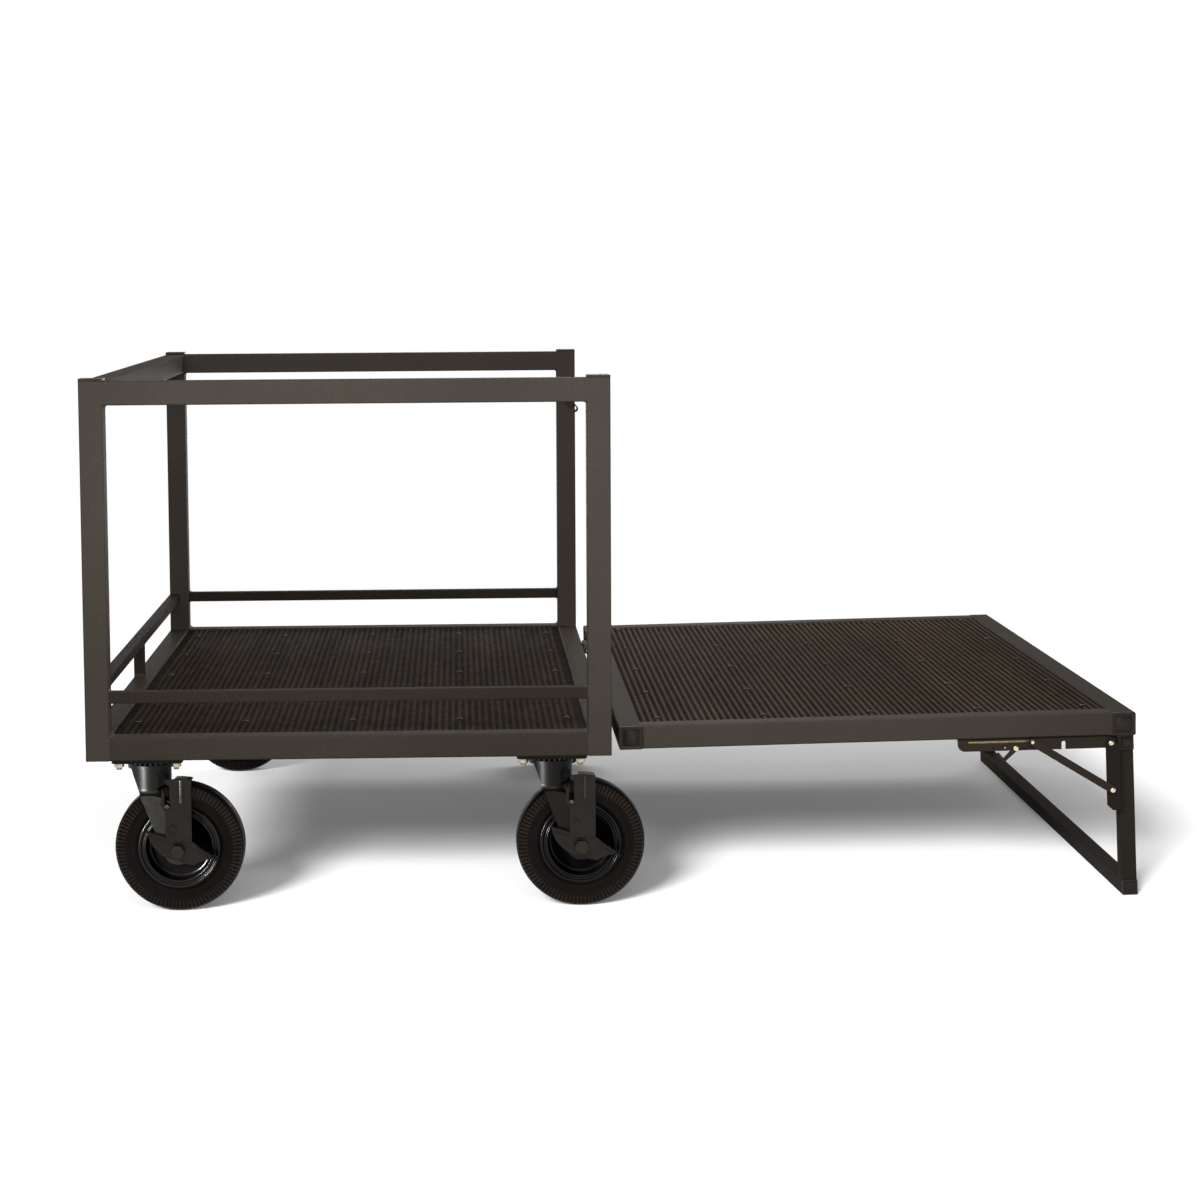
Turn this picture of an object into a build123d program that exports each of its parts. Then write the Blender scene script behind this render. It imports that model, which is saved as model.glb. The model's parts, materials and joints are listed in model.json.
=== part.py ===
from build123d import *
import os
from math import asin, cos, degrees, floor, radians, sin, sqrt

# A drum kit cart: a welded tube cage on four braked swivel casters, with a platform hinged
# along its right side. The platform stands on a folding leg when it is down, and swings up
# to close the cage. Millimetres, +Z up, X along the cart towards the platform, Y to the rear.
# The origin is on the floor under the middle of the object's box.

os.makedirs("parts", exist_ok=True)

# Frame tubes and the cage
TUBE = 38.1
TUBE_WALL = 2.0
TUBE_CORNER = 3.0
CART_LENGTH = 844.0
CART_DEPTH = 1219.2
POST_LENGTH = 609.0
GUARD_TUBE = 19.05
GUARD_WALL = 1.5
GUARD_CORNER = 1.8
GUARD_TOP = 112.4
CAP_FLANGE = 4.5
END_CAP_FLANGE = 3.0
CAP_PLUG = 16.0
CAP_CLEARANCE = 0.3

# Ribbed decks, their bearers and screws
DECK_RECESS = 1.0
DECK_CLEARANCE = 1.0
SHEET = 7.8
RIB_PITCH = 11.1
RIB_HEIGHT = 2.2
RIB_TOP = 5.0
RIB_FOOT = 8.2
BEARER_WIDTH = 38.1
BEARER_HEIGHT = 25.4
BEARER_WALL = 1.6
BEARER_CORNER = 2.0
SCREW_SPAN = 4
COLUMN_MARGIN = 22.0
CART_ROW_MARGIN = 98.0
PLATFORM_ROW_MARGIN = 31.0
SCREW_HEAD_RADIUS = 5.0
SCREW_HEAD_HEIGHT = 2.2
SCREW_RADIUS = 2.3
SCREW_CLEARANCE = 0.2
SCREW_GRIP = 8.0

# Platform, its hinges and the catch that holds it up
PLATFORM_LENGTH = 847.0
PLATFORM_SIDE_GAP = 7.0
PLATFORM_TILT = 1.0
HINGE_GAP = 14.2
HINGE_DROP = 4.0
HINGE_SPREAD = 600.0
KNUCKLE_RADIUS = 6.6
KNUCKLE_LENGTH = 48.0
HINGE_PIN_RADIUS = 4.0
HINGE_PIN_HEAD = 4.0
HINGE_PIN_HEAD_RADIUS = 5.6
RUNNING_CLEARANCE = 0.05
SIDE_PLAY = 0.4
CATCH_INSET = 28.9
CATCH_HEIGHT = 523.4
CATCH_HANG = 48.9
CATCH_WIDTH = 14.0
CATCH_TIP = 9.0
CATCH_THICK = 4.0
CATCH_PIVOT_RADIUS = 4.0
CATCH_PIVOT_HEAD = 7.0
CATCH_HEAD_THICK = 1.0
STUD_RADIUS = 4.0
STUD_DROP = 9.0
STUD_PLAY = 0.5
EDGE_STUD_RADIUS = 3.2
EDGE_STUD_LENGTH = 7.0
EDGE_STUD_FROM_FRONT = 239.0
EDGE_STUD_DROP = 8.0

# Folding leg
LEG_TUBE = 25.4
LEG_WALL = 1.6
LEG_CORNER = 2.0
LEG_LEAN = 1.3
LEG_PIVOT_INSET = 39.0
LEG_PIVOT_DROP = 13.3
LEG_SETBACK = 13.5
LEG_TOP_RISE = 10.8
LEG_END_INSET = 13.0

# Locking bracket of the leg: two plates, a link, a sliding pin and a latch lever at each end
BRACKET_THICK = 3.0
BRACKET_REACH = 252.0
BRACKET_FLANGE = 24.0
BRACKET_CORNER = 12.0
PLATE_BELOW_PIVOT = 8.4
PIVOT_EYE = 9.0
ARM_BELOW = 112.0
ARM_CHAMFER = 9.0
ARM_FLANGE = 26.0
CRANK = 77.8
LINK_LENGTH = 156.3
LINK_WIDTH = 12.6
LINK_THICK = 2.5
SLOT_RISE = 5.6
SLOT_RADIUS = 2.2
PIN_RADIUS = 2.0
PIN_COLLAR_RADIUS = 3.4
PIN_FLANGE_RADIUS = 4.2
PIN_FLANGE = 2.0
BACK_LIP = 1.5
BACK_LIP_DROP = 9.0
BACK_LIP_MARGIN = 6.0
NOTCH_WIDTH = 6.8
NOTCH_RISE = 5.0
PILOT_RADIUS = 1.6
PILOT_DROP = 3.8
PILOT_FROM_PIVOT = (174.0, 193.0)
RIVET_RADIUS = 2.5
RIVET_HEAD_RADIUS = 4.2
RIVET_HEAD = 2.0
TAIL_RADIUS = 2.9
TAIL = 1.4
PLATE_GAP = 0.4
LATCH_FROM_PIVOT = 157.0
LATCH_DROP = 4.6
LATCH_THICK = 2.4
LATCH_HEAD = 0.9
LATCH_TOOTH_FORWARD = 16.0
LATCH_TAB_BACK = 20.0
LATCH_TAB_DROP = 19.0
LATCH_EYE = 4.2
LATCH_TOOTH_RADIUS = 2.1
LATCH_TAB_RADIUS = 3.0
LATCH_SPUR_BACK = 9.0
LATCH_SPUR_RISE = 11.0
LATCH_SPUR_RADIUS = 1.8

# Casters
WHEEL_DIAMETER = 210.0
AXLE_DROP = 150.0
CASTER_FROM_END = 96.0
CASTER_FROM_FACE = 58.0
TRAIL = 47.0
PLATE_LENGTH = 114.3
PLATE_WIDTH = 101.6
PLATE_THICK = 6.0
PLATE_CORNER = 9.0
PAD_THICK = 6.0
PAD_MARGIN = 6.0
BOLT_SPACING_X = 92.1
BOLT_SPACING_Y = 66.7
BOLT_RADIUS = 4.7
BOLT_CLEARANCE = 0.4
BOLT_END = 4.0
NUT_WIDTH = 14.3
NUT_HEIGHT = 8.3
BOLT_HEAD = 6.0
RACE_RADIUS = 39.0
RACE_HEIGHT = 7.0
KINGPIN_RADIUS = 9.0
KINGPIN_NUT_RADIUS = 13.0
KINGPIN_NUT = 8.0
SWIVEL_GAP = 0.3
CROWN_RADIUS = 36.0
CROWN_DISC = 6.2
CROWN_THICK = 6.0
FORK_HEEL = 29.0
FORK_TOE = 34.0
FORK_EYE = 24.0
FORK_GAP = 68.0
FORK_WALL = 5.0
NECK_RADIUS = 34.0
NECK_HOLLOW = 40.0
NECK_HOLLOW_TOE = 16.0
NECK_STRAIGHT = 31.0
NECK_COVE = 10.0
WHEEL_CLEARANCE = 4.5
AXLE_RADIUS = 6.0
AXLE_HEAD_WIDTH = 20.0
AXLE_HEAD = 8.0
AXLE_NUT = 10.0
AXLE_END = 4.0
AXLE_COLLAR_RADIUS = 8.0

# Wheels
TYRE_WIDTH = 58.0
TREAD_FLAT = 26.0
SHOULDER_DROP = 5.0
SHOULDER_INSET = 3.0
BEAD_INSET = 6.0
RIM_RADIUS = 67.0
RIM_FLANGE = 3.0
RIM_WIDTH = 48.0
BARREL_RADIUS = 58.0
BARREL_WALL = 3.0
WEB_THICK = 5.0
WEB_FILLET = 5.0
HUB_RADIUS = 17.0
HUB_LENGTH = 66.0
TYRE_CLEARANCE = 0.3

# Brakes, seen from the front with the axle as their origin
BRAKE_GAP = 0.5
BRAKE_THICK = 3.0
BRAKE_TRAVEL = 5.0
BRAKE_PLAY = 1.3
AXLE_PLAY = 3.3
STRAP_RIGHT = 23.0
STRAP_LEFT = -19.0
SHOE_LEFT = -4.0
SHOE_FALL = 3.2
SHOE_FROM_MIDDLE = 4.0
HOOK_LEFT = -18.3
HOOK_DROP = 7.0
RIB_CENTRE = 6.8
RIB_RADIUS = 3.6
RIB_STAND = 1.8
RIB_LENGTH = 34.0
GUIDE_X = -15.8
GUIDE_Z = 74.2
GUIDE_RADIUS = 3.5
GUIDE_PLAY = 0.8
GUIDE_BALL = 5.0
TAB_WIDTH = 6.0
TAB_TOP = 97.0
CAM_X = -7.2
CAM_Z = 36.0
CAM_EYE = 10.0
CAM_HEAD_RADIUS = 6.0
CAM_HEAD = 3.0
RELEASE_TIP = (-48.9, 32.8)
RELEASE_ROOT = (-18.5, 23.5)
PEDAL_TIP = (62.6, -14.3)
PEDAL_ROOT = (22.0, 14.5)
RELEASE_BELLY = (-36.0, 2.0)
RELEASE_HEEL = (-10.8, -15.0)
PEDAL_STEP = ((0.0, -15.0), (4.0, -20.0), (25.0, -24.5))
PEDAL_TOE_RADIUS = 70.0
RELEASE_LIP = (-20.5, 24.1)
PEDAL_LIP = (31.8, 7.6)
LIP_DEPTH = 8.0
LIP_THICK = 3.0

# Heights and places that follow
base_height = AXLE_DROP + WHEEL_DIAMETER / 2
hinge_x = CART_LENGTH + HINGE_GAP / 2
hinge_height = base_height + TUBE - HINGE_DROP
platform_depth = CART_DEPTH - 2 * TUBE - 2 * PLATFORM_SIDE_GAP
platform_start = HINGE_GAP / 2
platform_end = platform_start + PLATFORM_LENGTH
platform_under = HINGE_DROP - TUBE
leg_pivot_u = platform_end - LEG_PIVOT_INSET
leg_pivot_w = platform_under - LEG_PIVOT_DROP
tilt = radians(PLATFORM_TILT)
lean = radians(PLATFORM_TILT + LEG_LEAN)
leg_pivot_x = hinge_x + leg_pivot_u * cos(tilt) - leg_pivot_w * sin(tilt)
leg_pivot_height = hinge_height + leg_pivot_u * sin(tilt) + leg_pivot_w * cos(tilt)

# The foot tube's rounded lower edge rests on the floor
foot_edge = LEG_SETBACK + LEG_CORNER
leg_bottom = (LEG_CORNER - leg_pivot_height - foot_edge * sin(lean)) / cos(lean) - LEG_CORNER
foot_outer = LEG_SETBACK + LEG_TUBE - LEG_CORNER
foot_reach = leg_pivot_x + foot_outer * cos(lean) - (leg_bottom + LEG_CORNER) * sin(lean) + LEG_CORNER
stud_tip = platform_end + EDGE_STUD_LENGTH
stud_reach = hinge_x + stud_tip * cos(tilt) - (HINGE_DROP - EDGE_STUD_DROP - EDGE_STUD_RADIUS) * sin(tilt)
cart_left = -max(foot_reach, stud_reach) / 2

# The frames that the pieces are drawn in
cart_frame = Location((cart_left, 0, base_height))
platform_frame = Location(
    Plane(
        origin=(cart_left + hinge_x, 0, hinge_height),
        x_dir=(cos(tilt), 0, sin(tilt)),
        z_dir=(-sin(tilt), 0, cos(tilt)),
    )
)
leg_frame = Location(
    Plane(
        origin=(cart_left + leg_pivot_x, 0, leg_pivot_height),
        x_dir=(cos(lean), 0, sin(lean)),
        z_dir=(-sin(lean), 0, cos(lean)),
    )
)
SIDES = {"front": -1, "rear": 1}
ENDS = {"left": CASTER_FROM_END, "right": CART_LENGTH - CASTER_FROM_END}
caster_frames = {
    f"{side}_{end}": cart_frame * Location((x, sign * (CART_DEPTH / 2 - CASTER_FROM_FACE), 0))
    for side, sign in SIDES.items()
    for end, x in ENDS.items()
}


def level(frame, x=0, y=0, z=0):
    """A plane facing up in a frame."""
    return Plane(frame * Location((x, y, z)))


def facing_front(frame, x=0, y=0, z=0):
    """A plane facing the front, with its x along the frame's x and its y up."""
    return Plane(frame * Location((x, y, z)) * Plane.XZ.location)


def facing_right(frame, x=0, y=0, z=0):
    """A plane facing right, with its x to the rear and its y up."""
    return Plane(frame * Location((x, y, z)) * Plane.YZ.location)


def finish(piece, name):
    """Labels a finished piece and writes its file."""
    piece.part.label = name
    export_step(piece.part, f"parts/{name}.step")


def square_tube(plane, length, width, height, wall, corner):
    """Adds a hollow tube centred on the plane's origin and running along its normal."""
    with BuildSketch(plane) as section:
        RectangleRounded(width, height, corner)
        inner = max(corner - wall, wall / 4)
        RectangleRounded(width - 2 * wall, height - 2 * wall, inner, mode=Mode.SUBTRACT)
    extrude(section.sketch, amount=length)


def end_plug(plane, size, wall, corner, flange):
    """Adds a plastic plug: a flange outside the plane and a stem inside the tube."""
    stem = size - 2 * (wall + CAP_CLEARANCE)
    with BuildSketch(plane) as outside:
        RectangleRounded(size, size, corner)
    extrude(outside.sketch, amount=flange)
    with BuildSketch(plane) as inside:
        Rectangle(stem, stem)
    extrude(inside.sketch, amount=-CAP_PLUG)


def round_bar(plane, radius, length, mode=Mode.ADD):
    """Adds or cuts a cylinder from the plane along its normal."""
    with BuildSketch(plane) as section:
        Circle(radius)
    extrude(section.sketch, amount=length, mode=mode)


def hex_bar(plane, width, length):
    """Adds a hexagonal bar of the given width across its flats."""
    with BuildSketch(plane) as section:
        RegularPolygon(width / 2, 6, major_radius=False)
    extrude(section.sketch, amount=length)


# Cage: posts, their plugs and the rails between them
post_xs = (TUBE / 2, CART_LENGTH - TUBE / 2)
post_y = CART_DEPTH / 2 - TUBE / 2
rail_length = CART_LENGTH - 2 * TUBE
side_length = CART_DEPTH - 2 * TUBE

with BuildPart() as corner_posts:
    for x in post_xs:
        for sign in SIDES.values():
            square_tube(level(cart_frame, x, sign * post_y), POST_LENGTH, TUBE, TUBE, TUBE_WALL, TUBE_CORNER)
finish(corner_posts, "corner_posts")

with BuildPart() as post_caps:
    for x in post_xs:
        for sign in SIDES.values():
            top = level(cart_frame, x, sign * post_y, POST_LENGTH)
            end_plug(top, TUBE, TUBE_WALL, TUBE_CORNER, CAP_FLANGE)
finish(post_caps, "post_caps")

with BuildPart() as top_rails:
    rail_z = POST_LENGTH - TUBE / 2
    for sign in SIDES.values():
        start = facing_right(cart_frame, TUBE, sign * post_y, rail_z)
        square_tube(start, rail_length, TUBE, TUBE, TUBE_WALL, TUBE_CORNER)
    start = facing_front(cart_frame, TUBE / 2, side_length / 2, rail_z)
    square_tube(start, side_length, TUBE, TUBE, TUBE_WALL, TUBE_CORNER)
finish(top_rails, "top_rails")

bolt_y = CART_DEPTH / 2 - CASTER_FROM_FACE + BOLT_SPACING_Y / 2
bolt_xs = [x + side * BOLT_SPACING_X / 2 for x in ENDS.values() for side in (-1, 1)]
with BuildPart() as base_rails:
    for sign in SIDES.values():
        start = facing_right(cart_frame, TUBE, sign * post_y, TUBE / 2)
        square_tube(start, rail_length, TUBE, TUBE, TUBE_WALL, TUBE_CORNER)
    for x in post_xs:
        start = facing_front(cart_frame, x, side_length / 2, TUBE / 2)
        square_tube(start, side_length, TUBE, TUBE, TUBE_WALL, TUBE_CORNER)
    for x in bolt_xs:
        for sign in SIDES.values():
            hole = level(cart_frame, x, sign * bolt_y)
            round_bar(hole, BOLT_RADIUS + BOLT_CLEARANCE, 2 * TUBE_WALL, Mode.SUBTRACT)
finish(base_rails, "base_rails")

with BuildPart() as guard_rails:
    guard_z = GUARD_TOP - GUARD_TUBE / 2
    guard_y = CART_DEPTH / 2 - GUARD_TUBE / 2
    for sign in SIDES.values():
        start = facing_right(cart_frame, TUBE, sign * guard_y, guard_z)
        square_tube(start, rail_length, GUARD_TUBE, GUARD_TUBE, GUARD_WALL, GUARD_CORNER)
    start = facing_front(cart_frame, GUARD_TUBE / 2, side_length / 2, guard_z)
    square_tube(start, side_length, GUARD_TUBE, GUARD_TUBE, GUARD_WALL, GUARD_CORNER)
    stub_length = GUARD_TOP - GUARD_TUBE - TUBE
    start = level(cart_frame, GUARD_TUBE / 2, 0, TUBE)
    square_tube(start, stub_length, GUARD_TUBE, GUARD_TUBE, GUARD_WALL, GUARD_CORNER)
finish(guard_rails, "guard_rails")


# Ribbed decks on cross bearers, alike on the cart and on the platform
deck_thick = SHEET + RIB_HEIGHT


def screw_places(length, depth, row_margin):
    """Screws stand on every so many ribs across the deck, in evenly spaced rows."""
    ribs_apart = floor((length / 2 - COLUMN_MARGIN) / RIB_PITCH / (SCREW_SPAN / 2))
    row_pitch = (depth - 2 * row_margin) / SCREW_SPAN
    steps = [n - SCREW_SPAN / 2 for n in range(SCREW_SPAN + 1)]
    columns = [n * ribs_apart * RIB_PITCH for n in steps]
    rows = [n * row_pitch for n in steps]
    return columns, rows


def ribbed_deck(frame, centre_x, top, length, depth, columns, rows):
    """Adds a sheet with ribs running front to rear, drilled for its screws."""
    ribs = floor((length / 2 - RIB_FOOT / 2) / RIB_PITCH)
    valley = top - RIB_HEIGHT
    outline = [(length / 2, top - deck_thick), (-length / 2, top - deck_thick), (-length / 2, valley)]
    for n in range(-ribs, ribs + 1):
        middle = n * RIB_PITCH
        outline += [(middle - RIB_FOOT / 2, valley), (middle - RIB_TOP / 2, top)]
        outline += [(middle + RIB_TOP / 2, top), (middle + RIB_FOOT / 2, valley)]
    outline.append((length / 2, valley))
    with BuildSketch(facing_front(frame, centre_x, depth / 2)) as section:
        with BuildLine():
            Polyline(*outline, close=True)
        make_face()
    extrude(section.sketch, amount=depth)
    with BuildSketch(level(frame, centre_x, 0, top)) as holes:
        with Locations(*[(x, y) for x in columns for y in rows]):
            Circle(SCREW_RADIUS + SCREW_CLEARANCE)
    extrude(holes.sketch, amount=-deck_thick, mode=Mode.SUBTRACT)


def cross_bearers(frame, centre_x, top, length, columns, rows):
    """Adds a flat tube under each row of screws, drilled through its upper wall."""
    for y in rows:
        start = facing_right(frame, centre_x - length / 2, y, top - BEARER_HEIGHT / 2)
        square_tube(start, length, BEARER_WIDTH, BEARER_HEIGHT, BEARER_WALL, BEARER_CORNER)
    with BuildSketch(level(frame, centre_x, 0, top)) as holes:
        with Locations(*[(x, y) for x in columns for y in rows]):
            Circle(SCREW_RADIUS + SCREW_CLEARANCE)
    extrude(holes.sketch, amount=-2 * BEARER_WALL, mode=Mode.SUBTRACT)


def deck_screws(frame, centre_x, top, columns, rows):
    """Adds pan head screws that stand on the ribs and reach through the bearers' walls."""
    with BuildSketch(level(frame, centre_x, 0, top)) as heads:
        with Locations(*[(x, y) for x in columns for y in rows]):
            Circle(SCREW_HEAD_RADIUS)
    extrude(heads.sketch, amount=SCREW_HEAD_HEIGHT)
    with BuildSketch(level(frame, centre_x, 0, top)) as shanks:
        with Locations(*[(x, y) for x in columns for y in rows]):
            Circle(SCREW_RADIUS)
    extrude(shanks.sketch, amount=-(deck_thick + SCREW_GRIP))


cart_middle = CART_LENGTH / 2
cart_deck_top = TUBE - DECK_RECESS
cart_deck_length = rail_length - 2 * DECK_CLEARANCE
cart_deck_depth = side_length - 2 * DECK_CLEARANCE
cart_columns, cart_rows = screw_places(cart_deck_length, cart_deck_depth, CART_ROW_MARGIN)

with BuildPart() as cart_deck:
    ribbed_deck(
        cart_frame, cart_middle, cart_deck_top, cart_deck_length, cart_deck_depth, cart_columns, cart_rows
    )
finish(cart_deck, "cart_deck")

with BuildPart() as cart_bearers:
    bearer_top = cart_deck_top - deck_thick
    cross_bearers(cart_frame, cart_middle, bearer_top, rail_length, cart_columns, cart_rows)
finish(cart_bearers, "cart_bearers")

with BuildPart() as cart_deck_screws:
    deck_screws(cart_frame, cart_middle, cart_deck_top, cart_columns, cart_rows)
finish(cart_deck_screws, "cart_deck_screws")


# Platform: two side rails with plugged ends, two cross rails, deck, bearers and screws
platform_middle = (platform_start + platform_end) / 2
rail_w = HINGE_DROP - TUBE / 2
side_rail_length = platform_depth - 2 * END_CAP_FLANGE
cross_length = PLATFORM_LENGTH - 2 * TUBE

with BuildPart() as platform_side_rails:
    for u in (platform_start + TUBE / 2, platform_end - TUBE / 2):
        start = facing_front(platform_frame, u, side_rail_length / 2, rail_w)
        square_tube(start, side_rail_length, TUBE, TUBE, TUBE_WALL, TUBE_CORNER)
finish(platform_side_rails, "platform_side_rails")

with BuildPart() as platform_cross_rails:
    for sign in SIDES.values():
        y = sign * (side_rail_length / 2 - TUBE / 2)
        start = facing_right(platform_frame, platform_start + TUBE, y, rail_w)
        square_tube(start, cross_length, TUBE, TUBE, TUBE_WALL, TUBE_CORNER)
finish(platform_cross_rails, "platform_cross_rails")

with BuildPart() as platform_end_caps:
    for u in (platform_start + TUBE / 2, platform_end - TUBE / 2):
        front = facing_front(platform_frame, u, -side_rail_length / 2, rail_w)
        rear = facing_front(platform_frame, u, side_rail_length / 2, rail_w)
        end_plug(front, TUBE, TUBE_WALL, TUBE_CORNER, END_CAP_FLANGE)
        end_plug(-rear, TUBE, TUBE_WALL, TUBE_CORNER, END_CAP_FLANGE)
finish(platform_end_caps, "platform_end_caps")

platform_deck_top = HINGE_DROP - DECK_RECESS
platform_deck_length = cross_length - 2 * DECK_CLEARANCE
platform_deck_depth = side_rail_length - 2 * TUBE - 2 * DECK_CLEARANCE
platform_columns, platform_rows = screw_places(
    platform_deck_length, platform_deck_depth, PLATFORM_ROW_MARGIN
)

with BuildPart() as platform_deck:
    ribbed_deck(
        platform_frame,
        platform_middle,
        platform_deck_top,
        platform_deck_length,
        platform_deck_depth,
        platform_columns,
        platform_rows,
    )
finish(platform_deck, "platform_deck")

with BuildPart() as platform_bearers:
    bearer_top = platform_deck_top - deck_thick
    cross_bearers(
        platform_frame, platform_middle, bearer_top, cross_length, platform_columns, platform_rows
    )
finish(platform_bearers, "platform_bearers")

with BuildPart() as platform_deck_screws:
    deck_screws(platform_frame, platform_middle, platform_deck_top, platform_columns, platform_rows)
finish(platform_deck_screws, "platform_deck_screws")


# Weld-on barrel hinges between the base and the platform: one knuckle each and a headed pin
hinge_ys = (-HINGE_SPREAD / 2, HINGE_SPREAD / 2)
knuckle_bore = HINGE_PIN_RADIUS + RUNNING_CLEARANCE


def knuckle(frame, y, foot):
    """Adds a barrel behind the given y, with a foot that reaches to the rail it is welded to."""
    with BuildSketch(facing_front(frame, 0, y + KNUCKLE_LENGTH)) as section:
        Circle(KNUCKLE_RADIUS)
        with Locations((foot / 2, 0)):
            Rectangle(abs(foot), 2 * KNUCKLE_RADIUS)
        Circle(knuckle_bore, mode=Mode.SUBTRACT)
    extrude(section.sketch, amount=KNUCKLE_LENGTH)


hinge_frame = Location((cart_left + hinge_x, 0, hinge_height))
with BuildPart() as cart_knuckles:
    for y in hinge_ys:
        knuckle(hinge_frame, y + SIDE_PLAY / 2, -HINGE_GAP / 2)
finish(cart_knuckles, "cart_knuckles")

with BuildPart() as platform_knuckles:
    for y in hinge_ys:
        knuckle(platform_frame, y - SIDE_PLAY / 2 - KNUCKLE_LENGTH, HINGE_GAP / 2)
finish(platform_knuckles, "platform_knuckles")

with BuildPart() as hinge_pins:
    for y in hinge_ys:
        rear_end = y + SIDE_PLAY / 2 + KNUCKLE_LENGTH
        pin_length = 2 * KNUCKLE_LENGTH + SIDE_PLAY
        round_bar(facing_front(hinge_frame, 0, rear_end), HINGE_PIN_RADIUS, pin_length)
        round_bar(-facing_front(hinge_frame, 0, rear_end), HINGE_PIN_HEAD_RADIUS, HINGE_PIN_HEAD)
finish(hinge_pins, "hinge_pins")


# Catch: a hook on the rear right post that drops over a stud on the raised platform's side
stud_w = HINGE_DROP - STUD_DROP
catch_reach = CATCH_INSET + HINGE_GAP / 2 - stud_w
stud_u = CATCH_HEIGHT + base_height - hinge_height
post_face = CART_DEPTH / 2 - TUBE
catch_y = post_face - (PLATFORM_SIDE_GAP - CATCH_THICK) / 2
hang = radians(-CATCH_HANG)
catch_frame = Location(
    Plane(
        origin=(cart_left + CART_LENGTH - CATCH_INSET, 0, base_height + CATCH_HEIGHT),
        x_dir=(cos(hang), 0, sin(hang)),
        z_dir=(-sin(hang), 0, cos(hang)),
    )
)

with BuildPart() as catch_hook:
    with BuildSketch(facing_front(catch_frame, 0, catch_y)):
        with Locations((0, 0), (catch_reach + CATCH_TIP - CATCH_WIDTH / 2, 0)):
            Circle(CATCH_WIDTH / 2)
        make_hull()
        Circle(CATCH_PIVOT_RADIUS + RUNNING_CLEARANCE, mode=Mode.SUBTRACT)
        with Locations((catch_reach, 0)):
            Circle(STUD_RADIUS + STUD_PLAY, mode=Mode.SUBTRACT)
        with Locations((catch_reach, -CATCH_WIDTH / 2)):
            Rectangle(2 * (STUD_RADIUS + STUD_PLAY), CATCH_WIDTH, mode=Mode.SUBTRACT)
    extrude(amount=CATCH_THICK)
finish(catch_hook, "catch_hook")

with BuildPart() as catch_pivot:
    pivot = facing_front(catch_frame, 0, post_face)
    round_bar(pivot, CATCH_PIVOT_HEAD, post_face - catch_y - SIDE_PLAY)
    pivot_length = post_face - catch_y + CATCH_THICK + SIDE_PLAY
    round_bar(pivot, CATCH_PIVOT_RADIUS, pivot_length)
    round_bar(facing_front(catch_frame, 0, post_face - pivot_length), CATCH_PIVOT_HEAD, CATCH_HEAD_THICK)
finish(catch_pivot, "catch_pivot")

with BuildPart() as platform_studs:
    side = platform_depth / 2 - END_CAP_FLANGE
    stud_length = post_face - side - STUD_PLAY
    round_bar(-facing_front(platform_frame, stud_u, side, stud_w), STUD_RADIUS, stud_length)
    edge_y = EDGE_STUD_FROM_FRONT - platform_depth / 2
    edge = facing_right(platform_frame, platform_end, edge_y, HINGE_DROP - EDGE_STUD_DROP)
    round_bar(edge, EDGE_STUD_RADIUS, EDGE_STUD_LENGTH)
finish(platform_studs, "platform_studs")


# Folding leg: cross tubes along the top and the foot, two uprights and plugged ends
leg_depth = platform_depth - 2 * LEG_END_INSET
cross_tube_length = leg_depth - 2 * END_CAP_FLANGE
leg_p = LEG_SETBACK + LEG_TUBE / 2
leg_tube_qs = (LEG_TOP_RISE - LEG_TUBE / 2, leg_bottom + LEG_TUBE / 2)

with BuildPart() as leg_cross_tubes:
    for q in leg_tube_qs:
        start = facing_front(leg_frame, leg_p, cross_tube_length / 2, q)
        square_tube(start, cross_tube_length, LEG_TUBE, LEG_TUBE, LEG_WALL, LEG_CORNER)
finish(leg_cross_tubes, "leg_cross_tubes")

with BuildPart() as leg_uprights:
    upright_length = LEG_TOP_RISE - leg_bottom - 2 * LEG_TUBE
    for sign in SIDES.values():
        y = sign * (cross_tube_length / 2 - LEG_TUBE / 2)
        start = level(leg_frame, leg_p, y, leg_bottom + LEG_TUBE)
        square_tube(start, upright_length, LEG_TUBE, LEG_TUBE, LEG_WALL, LEG_CORNER)
finish(leg_uprights, "leg_uprights")

with BuildPart() as leg_end_caps:
    for q in leg_tube_qs:
        front = facing_front(leg_frame, leg_p, -cross_tube_length / 2, q)
        rear = facing_front(leg_frame, leg_p, cross_tube_length / 2, q)
        end_plug(front, LEG_TUBE, LEG_WALL, LEG_CORNER, END_CAP_FLANGE)
        end_plug(-rear, LEG_TUBE, LEG_WALL, LEG_CORNER, END_CAP_FLANGE)
finish(leg_end_caps, "leg_end_caps")


# Locking brackets. Depths are counted inwards from the platform's end face, layer by layer:
# link, arm or latch lever, plate. The front set is drawn and the rear set is its mirror image.
link_depth = END_CAP_FLANGE
arm_depth = link_depth + LINK_THICK + PLATE_GAP
plate_depth = arm_depth + BRACKET_THICK + PLATE_GAP
latch_depth = plate_depth - PLATE_GAP - LATCH_THICK
lip_depth = plate_depth + BRACKET_THICK + PIN_FLANGE + 2 * PLATE_GAP
end_face = platform_depth / 2
bracket_frame = platform_frame * Location((leg_pivot_u, 0, leg_pivot_w))
crank_end = (0, -CRANK)

# The link closes on the slot's line at both limits of the fold
open_x = CRANK * sin(radians(LEG_LEAN))
open_z = -CRANK * cos(radians(LEG_LEAN))
link_open_drop = SLOT_RISE - open_z
link_open_run = sqrt(LINK_LENGTH**2 - link_open_drop**2)
slider_open = open_x - link_open_run
slider_folded = -CRANK - sqrt(LINK_LENGTH**2 - SLOT_RISE**2)
slot_middle = (slider_open + slider_folded) / 2
slot_run = slider_open - slider_folded
link_frame = Location(
    Plane(
        origin=(bracket_frame * Location((open_x, 0, open_z))).position,
        x_dir=(bracket_frame * Location((slider_open - open_x, 0, link_open_drop))).position
        - bracket_frame.position,
        z_dir=(bracket_frame * Location((-link_open_drop, 0, slider_open - open_x))).position
        - bracket_frame.position,
    )
)


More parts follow.
